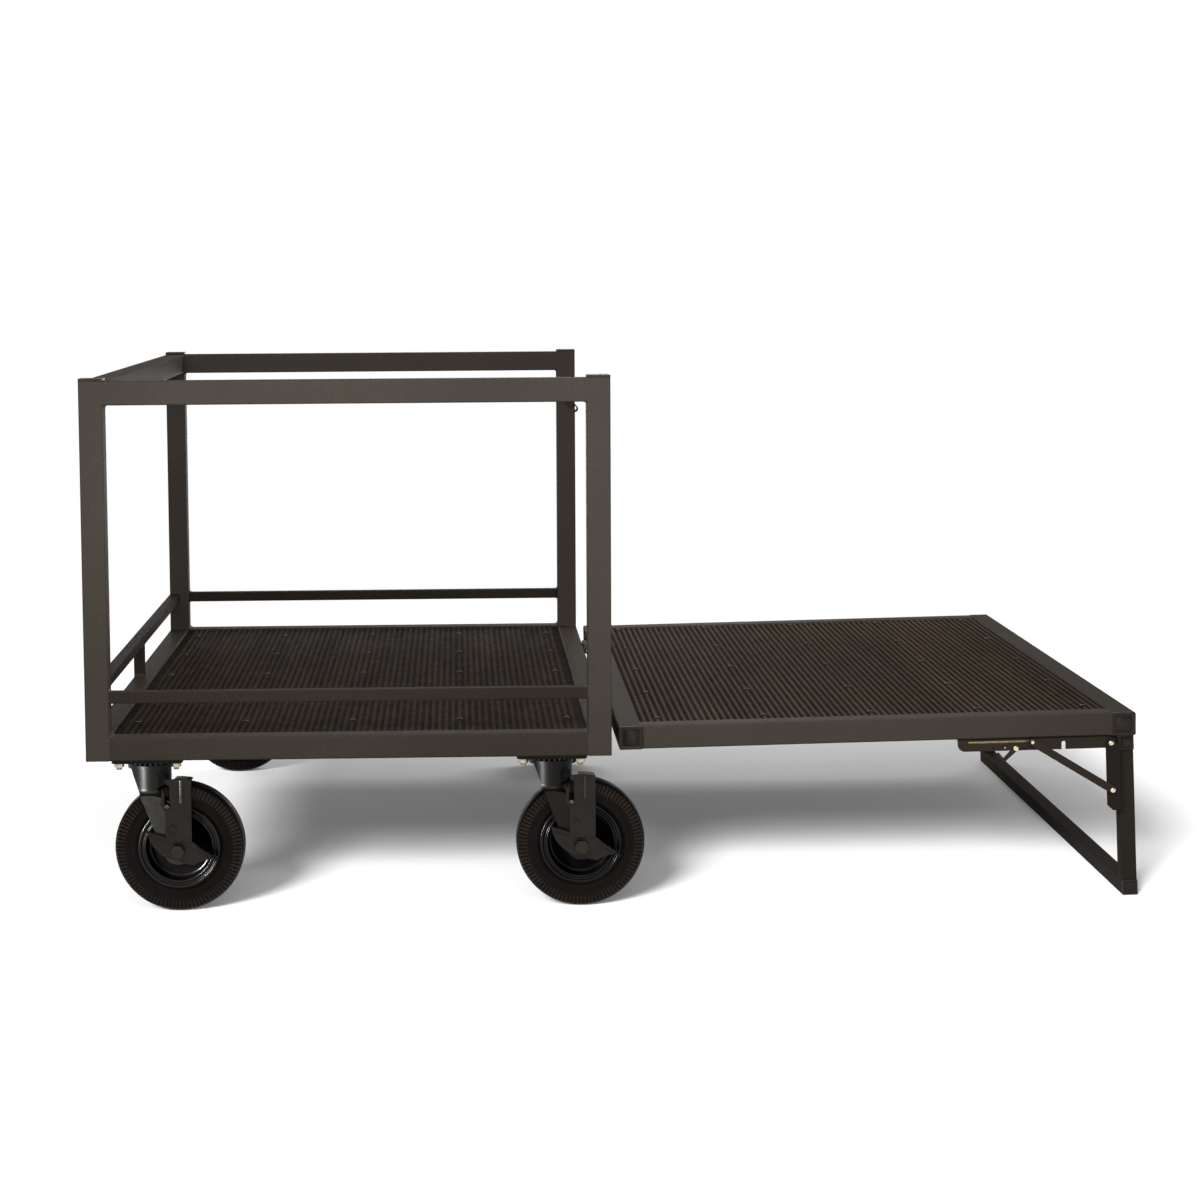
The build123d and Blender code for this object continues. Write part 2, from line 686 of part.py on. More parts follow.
def at_depth(frame, depth, sign, x=0, z=0):
    """A front-facing plane at the given depth inside the platform's front or rear side."""
    return facing_front(frame, x, sign * (end_face - depth), z)


def outward(frame, depth, sign, x=0, z=0):
    """The same place, with the plane's normal pointing out of that side."""
    plane = at_depth(frame, depth, sign, x, z)
    return plane if sign < 0 else -plane


def layer(sketch, sign, thick):
    """Extrudes a sketch inwards from the platform's front or rear side."""
    extrude(sketch, amount=sign * thick)


def rivet(frame, depth, grip, head, sign, x=0, z=0):
    """Adds a rivet through the given grip, with a low round head outside and a tail inside."""
    outside = outward(frame, depth, sign, x, z)
    round_bar(outside, RIVET_HEAD_RADIUS, head)
    round_bar(outside, RIVET_RADIUS, -grip)
    round_bar(outward(frame, depth + grip, sign, x, z), TAIL_RADIUS, -TAIL)


def bracket_plate(sign):
    """Adds a slotted plate, notched for the folded crank, with a top flange and a lip behind its slot."""
    with BuildSketch(at_depth(bracket_frame, plate_depth, sign)) as web:
        with BuildLine():
            low = -PLATE_BELOW_PIVOT
            top_right = Line((PIVOT_EYE, LEG_PIVOT_DROP), (PIVOT_EYE, 0))
            turn = RadiusArc(top_right @ 1, (0, -PIVOT_EYE), PIVOT_EYE)
            heel = Line(turn @ 1, (-PIVOT_EYE, low))
            lower = Line(heel @ 1, (BRACKET_CORNER - BRACKET_REACH, low))
            corner = RadiusArc(lower @ 1, (-BRACKET_REACH, low + BRACKET_CORNER), BRACKET_CORNER)
            left = Line(corner @ 1, (-BRACKET_REACH, LEG_PIVOT_DROP))
            Line(left @ 1, top_right @ 0)
        make_face()
        with Locations((slot_middle, SLOT_RISE)):
            SlotCenterToCenter(slot_run, 2 * SLOT_RADIUS, mode=Mode.SUBTRACT)
        notch_round = NOTCH_RISE - NOTCH_WIDTH / 2
        with Locations((-CRANK, (low + notch_round) / 2)):
            Rectangle(NOTCH_WIDTH, notch_round - low, mode=Mode.SUBTRACT)
        with Locations((-CRANK, notch_round)):
            Circle(NOTCH_WIDTH / 2, mode=Mode.SUBTRACT)
        with Locations((0, 0), (-LATCH_FROM_PIVOT, -LATCH_DROP)):
            Circle(RIVET_RADIUS + RUNNING_CLEARANCE, mode=Mode.SUBTRACT)
        with Locations(*[(-x, -PILOT_DROP) for x in PILOT_FROM_PIVOT]):
            Circle(PILOT_RADIUS, mode=Mode.SUBTRACT)
    layer(web.sketch, sign, BRACKET_THICK)
    with BuildSketch(facing_right(bracket_frame, -BRACKET_REACH)) as flange:
        middle = sign * (end_face - plate_depth - BRACKET_FLANGE / 2)
        with Locations((middle, LEG_PIVOT_DROP - BRACKET_THICK / 2)):
            Rectangle(BRACKET_FLANGE, BRACKET_THICK)
    extrude(flange.sketch, amount=BRACKET_REACH + PIVOT_EYE)
    with BuildSketch(at_depth(bracket_frame, lip_depth, sign)) as back_lip:
        lip_height = BRACKET_THICK + BACK_LIP_DROP
        with Locations((slot_middle, LEG_PIVOT_DROP - lip_height / 2)):
            Rectangle(slot_run + 2 * BACK_LIP_MARGIN, lip_height)
    layer(back_lip.sketch, sign, BACK_LIP)


def leg_arm(sign):
    """Adds an angle with its web beside the plate and its flange on the leg's upright."""
    with BuildSketch(at_depth(leg_frame, arm_depth, sign)) as web:
        with BuildLine():
            right = LEG_SETBACK
            top = Line((right, 0), (PIVOT_EYE, 0))
            eye = ThreePointArc(top @ 1, (0, PIVOT_EYE), (-PIVOT_EYE, 0))
            left = Line(eye @ 1, (-PIVOT_EYE, ARM_CHAMFER - ARM_BELOW))
            chamfer_edge = Line(left @ 1, (ARM_CHAMFER - PIVOT_EYE, -ARM_BELOW))
            bottom = Line(chamfer_edge @ 1, (right, -ARM_BELOW))
            Line(bottom @ 1, top @ 0)
        make_face()
        with Locations((0, 0), crank_end):
            Circle(RIVET_RADIUS + RUNNING_CLEARANCE, mode=Mode.SUBTRACT)
    layer(web.sketch, sign, BRACKET_THICK)
    with BuildSketch(level(leg_frame, LEG_SETBACK - BRACKET_THICK / 2, 0, -ARM_BELOW)) as flange:
        with Locations((0, sign * (end_face - arm_depth - ARM_FLANGE / 2))):
            Rectangle(BRACKET_THICK, ARM_FLANGE)
    extrude(flange.sketch, amount=ARM_BELOW)


def leg_link(sign):
    """Adds the link from the crank to the sliding pin, with the pin's outer head on it."""
    with BuildSketch(at_depth(link_frame, link_depth, sign)) as strap:
        with Locations((0, 0), (LINK_LENGTH, 0)):
            Circle(LINK_WIDTH / 2)
        make_hull()
        Circle(RIVET_RADIUS + RUNNING_CLEARANCE, mode=Mode.SUBTRACT)
    layer(strap.sketch, sign, LINK_THICK)
    round_bar(outward(link_frame, link_depth, sign, LINK_LENGTH), RIVET_HEAD_RADIUS, RIVET_HEAD)


def slide_pin(sign):
    """Adds a pin in the plate's slot, held by a flange on each side of the plate."""
    inner_depth = plate_depth + BRACKET_THICK + PLATE_GAP
    outer = outward(bracket_frame, arm_depth, sign, slider_open, SLOT_RISE)
    inner = outward(bracket_frame, inner_depth, sign, slider_open, SLOT_RISE)
    round_bar(outer, PIN_RADIUS, arm_depth - inner_depth)
    round_bar(outer, PIN_COLLAR_RADIUS, -BRACKET_THICK)
    round_bar(inner, PIN_FLANGE_RADIUS, -PIN_FLANGE)


def latch_lever(sign):
    """Adds a bent lever with a tooth under the sliding pin, a thumb tab below the plate and a spur."""
    tooth_rise = LATCH_DROP + SLOT_RISE - PIN_COLLAR_RADIUS - PLATE_GAP - LATCH_TOOTH_RADIUS
    tooth = (LATCH_TOOTH_FORWARD, tooth_rise)
    thumb = (-LATCH_TAB_BACK, -LATCH_TAB_DROP)
    spur = (-LATCH_TAB_BACK - LATCH_SPUR_BACK, LATCH_SPUR_RISE - LATCH_TAB_DROP)
    lever_frame = bracket_frame * Location((-LATCH_FROM_PIVOT, 0, -LATCH_DROP))
    with BuildSketch(at_depth(lever_frame, latch_depth, sign)) as lever:
        Circle(LATCH_EYE)
        with Locations(tooth):
            Circle(LATCH_TOOTH_RADIUS)
        make_hull()
        with BuildSketch(mode=Mode.PRIVATE) as handle:
            Circle(LATCH_EYE)
            with Locations(thumb):
                Circle(LATCH_TAB_RADIUS)
            make_hull()
        add(handle.sketch)
        with BuildSketch(mode=Mode.PRIVATE) as upturn:
            with Locations(thumb, spur):
                Circle(LATCH_SPUR_RADIUS)
            make_hull()
        add(upturn.sketch)
        Circle(RIVET_RADIUS + RUNNING_CLEARANCE, mode=Mode.SUBTRACT)
    layer(lever.sketch, sign, LATCH_THICK)


with BuildPart() as leg_brackets:
    for sign in SIDES.values():
        bracket_plate(sign)
finish(leg_brackets, "leg_brackets")

with BuildPart() as bracket_rivets:
    for sign in SIDES.values():
        pivot_grip = 2 * BRACKET_THICK + PLATE_GAP
        rivet(bracket_frame, arm_depth, pivot_grip, RIVET_HEAD, sign)
        latch_grip = LATCH_THICK + PLATE_GAP + BRACKET_THICK
        rivet(bracket_frame, latch_depth, latch_grip, LATCH_HEAD, sign, -LATCH_FROM_PIVOT, -LATCH_DROP)
finish(bracket_rivets, "bracket_rivets")

with BuildPart() as leg_arms:
    for sign in SIDES.values():
        leg_arm(sign)
finish(leg_arms, "leg_arms")

with BuildPart() as crank_rivets:
    for sign in SIDES.values():
        crank_grip = LINK_THICK + PLATE_GAP + BRACKET_THICK
        rivet(leg_frame, link_depth, crank_grip, RIVET_HEAD, sign, *crank_end)
finish(crank_rivets, "crank_rivets")

for side, sign in SIDES.items():
    with BuildPart() as link:
        leg_link(sign)
    finish(link, f"link_{side}")
    with BuildPart() as pin:
        slide_pin(sign)
    finish(pin, f"slide_pin_{side}")
    with BuildPart() as latch:
        latch_lever(sign)
    finish(latch, f"latch_lever_{side}")


# Caster plates on pads welded into the base's corners, with their bolts
race_bottom = PLATE_THICK + RACE_HEIGHT
crown_top = race_bottom + SWIVEL_GAP + CROWN_DISC
crown_bottom = crown_top + CROWN_THICK
bolt_grid = GridLocations(BOLT_SPACING_X, BOLT_SPACING_Y, 2, 2)

with BuildPart() as caster_pads:
    pad_reach = CASTER_FROM_END + PLATE_LENGTH / 2 + PAD_MARGIN - TUBE
    pad_depth = CASTER_FROM_FACE + PLATE_WIDTH / 2 + PAD_MARGIN - TUBE
    for x in (TUBE + pad_reach / 2, CART_LENGTH - TUBE - pad_reach / 2):
        for sign in SIDES.values():
            with BuildSketch(level(cart_frame, x, sign * (CART_DEPTH / 2 - TUBE - pad_depth / 2))) as pad:
                Rectangle(pad_reach, pad_depth)
            extrude(pad.sketch, amount=PAD_THICK)
    for frame in caster_frames.values():
        with BuildSketch(level(frame)) as holes:
            with bolt_grid:
                Circle(BOLT_RADIUS + BOLT_CLEARANCE)
        extrude(holes.sketch, amount=PAD_THICK, mode=Mode.SUBTRACT)
finish(caster_pads, "caster_pads")

with BuildPart() as caster_plates:
    for frame in caster_frames.values():
        with BuildSketch(level(frame)) as plate:
            RectangleRounded(PLATE_LENGTH, PLATE_WIDTH, PLATE_CORNER)
            with bolt_grid:
                Circle(BOLT_RADIUS + BOLT_CLEARANCE, mode=Mode.SUBTRACT)
        extrude(plate.sketch, amount=-PLATE_THICK)
        round_bar(level(frame, 0, 0, -PLATE_THICK), RACE_RADIUS, -RACE_HEIGHT)
        round_bar(level(frame, 0, 0, -race_bottom), KINGPIN_RADIUS, race_bottom - crown_bottom - SWIVEL_GAP)
        nut = level(frame, 0, 0, -crown_bottom - SWIVEL_GAP)
        round_bar(nut, KINGPIN_NUT_RADIUS, -KINGPIN_NUT)
finish(caster_plates, "caster_plates")

with BuildPart() as caster_bolts:
    for frame in caster_frames.values():
        outer_sign = -1 if frame.position.Y < 0 else 1
        for place in bolt_grid.local_locations:
            x, y = place.position.X, place.position.Y
            seat = TUBE_WALL if y * outer_sign > 0 else PAD_THICK
            under = level(frame, x, y, -PLATE_THICK - NUT_HEIGHT - BOLT_END)
            round_bar(under, BOLT_RADIUS, BOLT_END + NUT_HEIGHT + PLATE_THICK + seat)
            hex_bar(level(frame, x, y, -PLATE_THICK), NUT_WIDTH, -NUT_HEIGHT)
            hex_bar(level(frame, x, y, seat), NUT_WIDTH, BOLT_HEAD)
finish(caster_bolts, "caster_bolts")


# Forks, axles, wheels and brakes, alike on the four casters
fork_half = FORK_GAP / 2 + FORK_WALL
lever_inner = fork_half + BRAKE_GAP
lever_outer = lever_inner + BRAKE_THICK
strap_inner = lever_outer + BRAKE_GAP
strap_outer = strap_inner + BRAKE_THICK
tyre_radius = WHEEL_DIAMETER / 2
shoe_under = tyre_radius + BRAKE_PLAY + BRAKE_TRAVEL
strap_top = shoe_under + BRAKE_THICK + SHOE_FALL
strap_bottom = AXLE_RADIUS + BRAKE_TRAVEL + AXLE_PLAY


def front_side(sketch, inner, thick):
    """Extrudes a front-facing sketch forwards from the given distance in front of the wheel's middle."""
    extrude(sketch.moved(Location((0, -inner, 0))), amount=thick)


def around_wheel(outline, frame, mode=Mode.ADD):
    """Turns an outline of (radius, y) points and its mirror image once around the axle."""
    mirrored = [(r, -y) for r, y in reversed(outline)]
    with BuildSketch(level(frame)) as section:
        with BuildLine():
            Polyline(*outline, *mirrored, close=True)
        make_face()
    revolve(section.sketch, axis=Axis(frame.position, (0, 1, 0)), mode=mode)


def neck_relief(frame):
    """Cuts the cheeks back to a neck round about the kingpin, straight down and then coving out."""
    neck_end = -crown_top - NECK_STRAIGHT
    with BuildSketch(facing_right(frame)) as outline:
        with BuildLine():
            straight = Line((NECK_RADIUS, -crown_top), (NECK_RADIUS, neck_end))
            cove = TangentArc(straight @ 1, (fork_half, neck_end - NECK_COVE), tangent=(0, -1))
            flare = Line(cove @ 1, cove @ 1 + (cove % 1) * 2 * fork_half)
            outside = Line(flare @ 1, ((flare @ 1).X, -crown_top))
            Line(outside @ 1, straight @ 0)
        make_face()
    revolve(outline.sketch, axis=Axis(frame.position, (0, 0, 1)), mode=Mode.SUBTRACT)


def fork_shape(frame, wheel_frame):
    """Adds a pressed fork: swept cheeks under a round neck, hollow inside and open for the wheel."""
    with BuildSketch(facing_front(frame)) as cheek:
        with BuildLine():
            Line((-FORK_HEEL, -crown_top), (FORK_TOE, -crown_top))
        with Locations((TRAIL, -AXLE_DROP)):
            Circle(FORK_EYE)
        make_hull()
    extrude(cheek.sketch, amount=fork_half, both=True)
    neck_relief(frame)
    with BuildSketch(facing_front(frame)) as hollow:
        with BuildLine():
            Line((FORK_WALL - FORK_HEEL, -crown_bottom), (NECK_HOLLOW_TOE, -crown_bottom))
        with Locations((TRAIL, -AXLE_DROP)):
            Circle(FORK_EYE - FORK_WALL)
        make_hull()
    extrude(hollow.sketch, amount=NECK_HOLLOW / 2, both=True, mode=Mode.SUBTRACT)
    half_gap, half_tyre = FORK_GAP / 2, TYRE_WIDTH / 2
    shoulder_radius = tyre_radius - SHOULDER_DROP + WHEEL_CLEARANCE
    wheel_gap = [(0, half_gap), ((RIM_RADIUS + tyre_radius) / 2, half_gap)]
    wheel_gap += [(shoulder_radius, half_tyre - SHOULDER_INSET + WHEEL_CLEARANCE)]
    wheel_gap += [(tyre_radius + WHEEL_CLEARANCE, TREAD_FLAT / 2 + WHEEL_CLEARANCE)]
    around_wheel(wheel_gap, wheel_frame, Mode.SUBTRACT)


def axle_set(wheel_frame):
    """Adds the axle bolt, its head and collar in front and nut behind, and the strap's guide pin."""
    head = strap_outer + BRAKE_GAP
    collar = lever_outer + BRAKE_GAP
    thread_end = fork_half + AXLE_NUT + AXLE_END
    round_bar(facing_front(wheel_frame, 0, thread_end), AXLE_RADIUS, thread_end + head)
    round_bar(facing_front(wheel_frame, 0, -collar), AXLE_COLLAR_RADIUS, head - collar)
    hex_bar(facing_front(wheel_frame, 0, -head), AXLE_HEAD_WIDTH, AXLE_HEAD)
    hex_bar(-facing_front(wheel_frame, 0, fork_half), AXLE_HEAD_WIDTH, AXLE_NUT)
    round_bar(facing_front(wheel_frame, GUIDE_X, -fork_half, GUIDE_Z), GUIDE_RADIUS, head - fork_half)
    with Locations(wheel_frame * Location((GUIDE_X, -head - GUIDE_BALL / 2, GUIDE_Z))):
        Sphere(GUIDE_BALL)


def rim_shape(wheel_frame):
    """Adds a dished steel rim: hub, web, barrel and two flanges."""
    half, flange, hub = RIM_WIDTH / 2, RIM_FLANGE, HUB_LENGTH / 2
    inside = BARREL_RADIUS - BARREL_WALL
    bore = AXLE_RADIUS + RUNNING_CLEARANCE
    upper = [(bore, hub), (HUB_RADIUS, hub), (HUB_RADIUS, WEB_THICK / 2)]
    upper += [(inside - WEB_FILLET, WEB_THICK / 2), (inside, WEB_THICK / 2 + WEB_FILLET), (inside, half)]
    upper += [(RIM_RADIUS, half), (RIM_RADIUS, half - flange), (BARREL_RADIUS, half - flange)]
    around_wheel(upper, wheel_frame)


def tyre_shape(wheel_frame):
    """Adds a tyre seated between the rim's flanges, with a flat tread and full sidewalls."""
    seat = RIM_WIDTH / 2 - RIM_FLANGE - TYRE_CLEARANCE
    wall = TYRE_WIDTH / 2
    middle = (RIM_RADIUS + tyre_radius) / 2
    upper = [(BARREL_RADIUS + TYRE_CLEARANCE, seat), (RIM_RADIUS + TYRE_CLEARANCE, seat)]
    upper += [(RIM_RADIUS + TYRE_CLEARANCE, wall - BEAD_INSET), (middle, wall)]
    upper += [(tyre_radius - SHOULDER_DROP, wall - SHOULDER_INSET), (tyre_radius, TREAD_FLAT / 2)]
    around_wheel(upper, wheel_frame)


def strap_shape(wheel_frame):
    """Adds the brake strap: a ribbed plate with a guide slot, cam head and shoe bent over the tread."""
    slot = GUIDE_RADIUS + GUIDE_PLAY
    tab_left = GUIDE_X - slot - TAB_WIDTH
    crest_right = (STRAP_RIGHT, sqrt(strap_top**2 - STRAP_RIGHT**2))
    crest_left = (HOOK_LEFT, sqrt(strap_top**2 - HOOK_LEFT**2))
    hook_under = strap_top - HOOK_DROP
    with BuildSketch(facing_front(wheel_frame)) as cheek:
        with BuildLine():
            bottom = Line((STRAP_LEFT, strap_bottom), (STRAP_RIGHT, strap_bottom))
            right = Line(bottom @ 1, crest_right)
            top = ThreePointArc(right @ 1, (0, strap_top), crest_left)
            hook = Polyline(top @ 1, (HOOK_LEFT, hook_under), (GUIDE_X + slot, hook_under - slot))
            down = Line(hook @ 1, (GUIDE_X + slot, GUIDE_Z))
            seat = ThreePointArc(down @ 1, (GUIDE_X, GUIDE_Z - slot), (GUIDE_X - slot, GUIDE_Z))
            up = Line(seat @ 1, (GUIDE_X - slot, TAB_TOP))
            over = Line(up @ 1, (tab_left + TAB_WIDTH / 3, TAB_TOP))
            tab = Line(over @ 1, (tab_left, GUIDE_Z))
            under = Line(tab @ 1, (STRAP_LEFT, GUIDE_Z - 2 * TAB_WIDTH))
            Line(under @ 1, bottom @ 0)
        make_face()
    front_side(cheek.sketch, strap_inner, BRAKE_THICK)
    with BuildSketch(facing_front(wheel_frame)) as bead:
        with Locations((RIB_CENTRE, strap_top - RIB_LENGTH / 2 - RIB_RADIUS)):
            SlotCenterToCenter(RIB_LENGTH, 2 * RIB_RADIUS, rotation=90)
    front_side(bead.sketch, strap_outer, RIB_STAND)
    with BuildSketch(facing_front(wheel_frame)) as cam:
        with Locations((CAM_X, CAM_Z)):
            Circle(CAM_HEAD_RADIUS)
    front_side(cam.sketch, strap_outer, CAM_HEAD)
    shoe_start, shoe_end = (degrees(asin(x / strap_top)) for x in (SHOE_LEFT, STRAP_RIGHT))
    with BuildSketch(facing_right(wheel_frame * Location((0, 0, 0), (0, shoe_start, 0)))) as shoe:
        with BuildLine():
            root = Line((-strap_outer, strap_top - BRAKE_THICK), (-strap_outer, strap_top))
            upper = Line(root @ 1, (-SHOE_FROM_MIDDLE, shoe_under + BRAKE_THICK))
            tip = Line(upper @ 1, (-SHOE_FROM_MIDDLE, shoe_under))
            Line(tip @ 1, root @ 0)
        make_face()
    axle_line = Axis(wheel_frame.position, (0, 1, 0))
    revolve(shoe.sketch, axis=axle_line, revolution_arc=shoe_end - shoe_start)


def lever_shape(wheel_frame):
    """Adds the brake lever: a two-lobed plate on the axle, with lips to press on."""
    with BuildSketch(facing_front(wheel_frame)) as cheek:
        with BuildLine():
            crest = (CAM_X, CAM_Z + CAM_EYE)
            tongue = ThreePointArc((CAM_X + CAM_EYE, CAM_Z), crest, (CAM_X - CAM_EYE, CAM_Z))
            neck = Line(tongue @ 1, RELEASE_ROOT)
            release = Line(neck @ 1, RELEASE_TIP)
            heel = ThreePointArc(release @ 1, RELEASE_BELLY, RELEASE_HEEL)
            step = Polyline(heel @ 1, *PEDAL_STEP)
            toe = RadiusArc(step @ 1, PEDAL_TIP, PEDAL_TOE_RADIUS)
            pedal = Line(toe @ 1, PEDAL_ROOT)
            Line(pedal @ 1, tongue @ 0)
        make_face()
        Circle(AXLE_RADIUS + RUNNING_CLEARANCE, mode=Mode.SUBTRACT)
    front_side(cheek.sketch, lever_inner, BRAKE_THICK)
    with BuildSketch(facing_front(wheel_frame)) as lips:
        for start, tip in ((RELEASE_LIP, RELEASE_TIP), (PEDAL_LIP, PEDAL_TIP)):
            with BuildLine():
                lower = [(x, z - LIP_THICK) for x, z in (tip, start)]
                Polyline(start, tip, *lower, close=True)
            make_face()
    front_side(lips.sketch, lever_outer, LIP_DEPTH)


for corner, frame in caster_frames.items():
    wheel_frame = frame * Location((TRAIL, 0, -AXLE_DROP))
    with BuildPart() as fork:
        fork_shape(frame, wheel_frame)
        round_bar(level(frame, 0, 0, -crown_top), CROWN_RADIUS, CROWN_DISC)
        round_bar(level(frame), KINGPIN_RADIUS + RUNNING_CLEARANCE, -2 * crown_bottom, Mode.SUBTRACT)
        axle_hole = facing_front(wheel_frame, 0, fork_half)
        round_bar(axle_hole, AXLE_RADIUS + RUNNING_CLEARANCE, 2 * fork_half, Mode.SUBTRACT)
    finish(fork, f"fork_{corner}")
    with BuildPart() as axle:
        axle_set(wheel_frame)
    finish(axle, f"axle_{corner}")
    with BuildPart() as rim:
        rim_shape(wheel_frame)
    finish(rim, f"rim_{corner}")
    with BuildPart() as tyre:
        tyre_shape(wheel_frame)
    finish(tyre, f"tyre_{corner}")
    with BuildPart() as strap:
        strap_shape(wheel_frame)
    finish(strap, f"brake_strap_{corner}")
    with BuildPart() as lever:
        lever_shape(wheel_frame)
    finish(lever, f"brake_lever_{corner}")
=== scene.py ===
"""The looks of a drum kit cart: a welded tube cage on four braked casters, with a ribbed platform
hinged along its right side and standing on a folding leg. Metres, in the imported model's frame:
X runs along the cart towards the platform, Y to the rear, Z up from the floor."""

import json
import math
from collections import namedtuple

import bmesh
import bpy
from mathutils import Matrix, Vector


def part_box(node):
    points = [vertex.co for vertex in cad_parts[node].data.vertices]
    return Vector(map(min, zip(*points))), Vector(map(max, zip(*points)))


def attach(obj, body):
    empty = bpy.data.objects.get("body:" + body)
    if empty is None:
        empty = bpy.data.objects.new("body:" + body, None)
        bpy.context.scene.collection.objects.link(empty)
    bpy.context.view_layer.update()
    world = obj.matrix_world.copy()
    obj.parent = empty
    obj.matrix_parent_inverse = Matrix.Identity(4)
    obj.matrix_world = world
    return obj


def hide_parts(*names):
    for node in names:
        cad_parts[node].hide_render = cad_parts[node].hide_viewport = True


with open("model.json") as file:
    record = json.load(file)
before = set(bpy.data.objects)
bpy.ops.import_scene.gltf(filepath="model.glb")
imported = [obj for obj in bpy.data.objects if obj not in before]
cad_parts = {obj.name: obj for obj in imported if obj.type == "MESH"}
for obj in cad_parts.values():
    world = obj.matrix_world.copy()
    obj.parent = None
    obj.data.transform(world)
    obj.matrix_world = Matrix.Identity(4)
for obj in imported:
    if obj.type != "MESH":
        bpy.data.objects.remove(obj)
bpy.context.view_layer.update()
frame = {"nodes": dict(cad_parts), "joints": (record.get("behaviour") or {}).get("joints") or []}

# Tubes: outside size, corner radius and the radius of a weld on them
Tube = namedtuple("Tube", "size corner weld")
FRAME_TUBE = Tube(0.0381, 0.003, 0.0055)
GUARD_TUBE = Tube(0.01905, 0.0018, 0.0042)
LEG_TUBE = Tube(0.0254, 0.002, 0.0042)
WELD_SETBACK = 0.0009

# Widths of rounded edges
TUBE_EDGE = 0.0004
HARDWARE_EDGE = 0.0007
BRACKET_EDGE = 0.0005
SLIDE_PIN_EDGE = 0.0004
PLATE_EDGE = 0.0007
NUT_EDGE = 0.0009
BOLT_HEAD_EDGE = 0.0008
FORK_EDGE = 0.0014
AXLE_EDGE = 0.0008
BRAKE_EDGE = 0.0006

# Grooves in the tube plugs
GROOVE_DEPTH = 0.0007
GROOVE_RISE = 0.002
GROOVE_WIDTH = 0.0008
GROOVE_CORNER = 0.001

# Deck mats: a rib rises while a cosine wave along the mat goes from its foot to its crest value
RIB_PITCH = 0.0111
RIB_HEIGHT = 0.0022
RIB_STEPS = 10
RIB_FOOT = -0.75
RIB_CREST = 0.7

# Deck screws
SCREW_HEAD_RADIUS = 0.005
SCREW_HEAD_HEIGHT = 0.0022
SCREW_FLAT = 0.0031
SCREW_FLAT_ROUND = 0.0012
SCREW_SHOULDER = 0.000924
SCREW_SHOULDER_ROUND = 0.0014
SCREW_RADIUS = 0.0023
SCREW_RECESS = 0.0011
SCREW_RECESS_WIDTH = 0.0009
SCREW_RECESS_LENGTH = 0.0052

# Platform studs: corners as shares of radius and length, each with its rounding, then the tip
STUD_CORNERS = [(1, 0.22, 0.0004), (0.72, 0.3, 0.0006), (0.72, 0.58, 0.0006), (0.96, 0.66, 0.0005)]
STUD_TIP = 0.96
STUD_TIP_ROUND = 0.5

# Rivets and domes of the brackets: a rivet's shoulder and tail are shares of its head's height,
# and a dome's flat and roundings are shares of its radius
RIVET_HEAD_RADIUS = 0.0042
RIVET_HEAD = 0.002
RIVET_SHOULDER = 0.35
RIVET_SHANK_RADIUS = 0.00252
RIVET_TAIL_RADIUS = 0.002898
RIVET_TAIL = 0.7
RIVET_TAIL_ROUND = 0.0004
LATCH_RIVET_HEAD = 0.0009
LATCH_RIVET_LONGEST = 0.0085
DOME_FLAT = 0.5
DOME_FLAT_ROUND = 0.3
DOME_SHOULDER_ROUND = 0.2
LINK_DOME_SKIN = 0.0001
LINK_DOME_LIFT = 0.0003
LINK_DOME_SHOULDER = -0.0008

# Brass strips behind the brackets' slots; their middle is a share of the pin's travel
LOCK_STRIP_GAP = 0.00015
LOCK_STRIP_THICK = 0.0003
LOCK_STRIP_WIDTH = 0.0066
LOCK_STRIP_CORNER = 0.0004
LOCK_STRIP_SPARE = 0.006
LOCK_STRIP_MIDDLE = 0.47

# Caster plates, races and bolts
PLATE_LENGTH = 0.1143
PLATE_WIDTH = 0.1016
PLATE_THICK = 0.006
PLATE_CORNER = 0.009
PLATE_CORNER_STEPS = 6
RACE_RADIUS = 0.039
RACE_HEIGHT = 0.007
BALL_COUNT = 26
BALL_RADIUS = 0.0024
BALL_CIRCLE = 0.0352
BALL_DROP = 0.0039
KINGPIN_RADIUS = 0.009
KINGPIN_NUT = 0.008
KINGPIN_NUT_RADIUS = 0.013
KINGPIN_NUT_ROUND = 0.0008
KINGPIN_END_ROUND = 0.0012
NUT_WIDTH = 0.0143
NUT_HEIGHT = 0.0083
BOLT_RADIUS = 0.0047
BOLT_END = 0.004
BOLT_HEAD = 0.006
THREAD_PITCH = 0.0013
THREAD_DEPTH = 0.0005

# Wheels: lugs as half width, inner radius and stand, outer radius and stand
# Inside this radius a rim's dish carries painted shade: a darker, duller paint
DISH_RADIUS = 0.049
LUG_COUNT = 96
LUG_FOOT = (0.0019, 0.0862, 0.0256, 0.1012, 0.0216)
LUG_CREST = (0.0012, 0.0868, 0.0274, 0.1002, 0.0248)

# Brakes
BEAD_RADIUS = 0.0038
BEAD_STAND = 0.0022
BEAD_LENGTH = 0.034
BEAD_FROM_AXLE = 0.0068
BEAD_STEPS = 6
ROUND_END = 0.999
CAM_HEAD = 0.003
GUIDE_BALL_RADIUS = 0.005
GUIDE_BALL_SKIN = 0.00008
GUIDE_BALL_FORWARD = 0.049

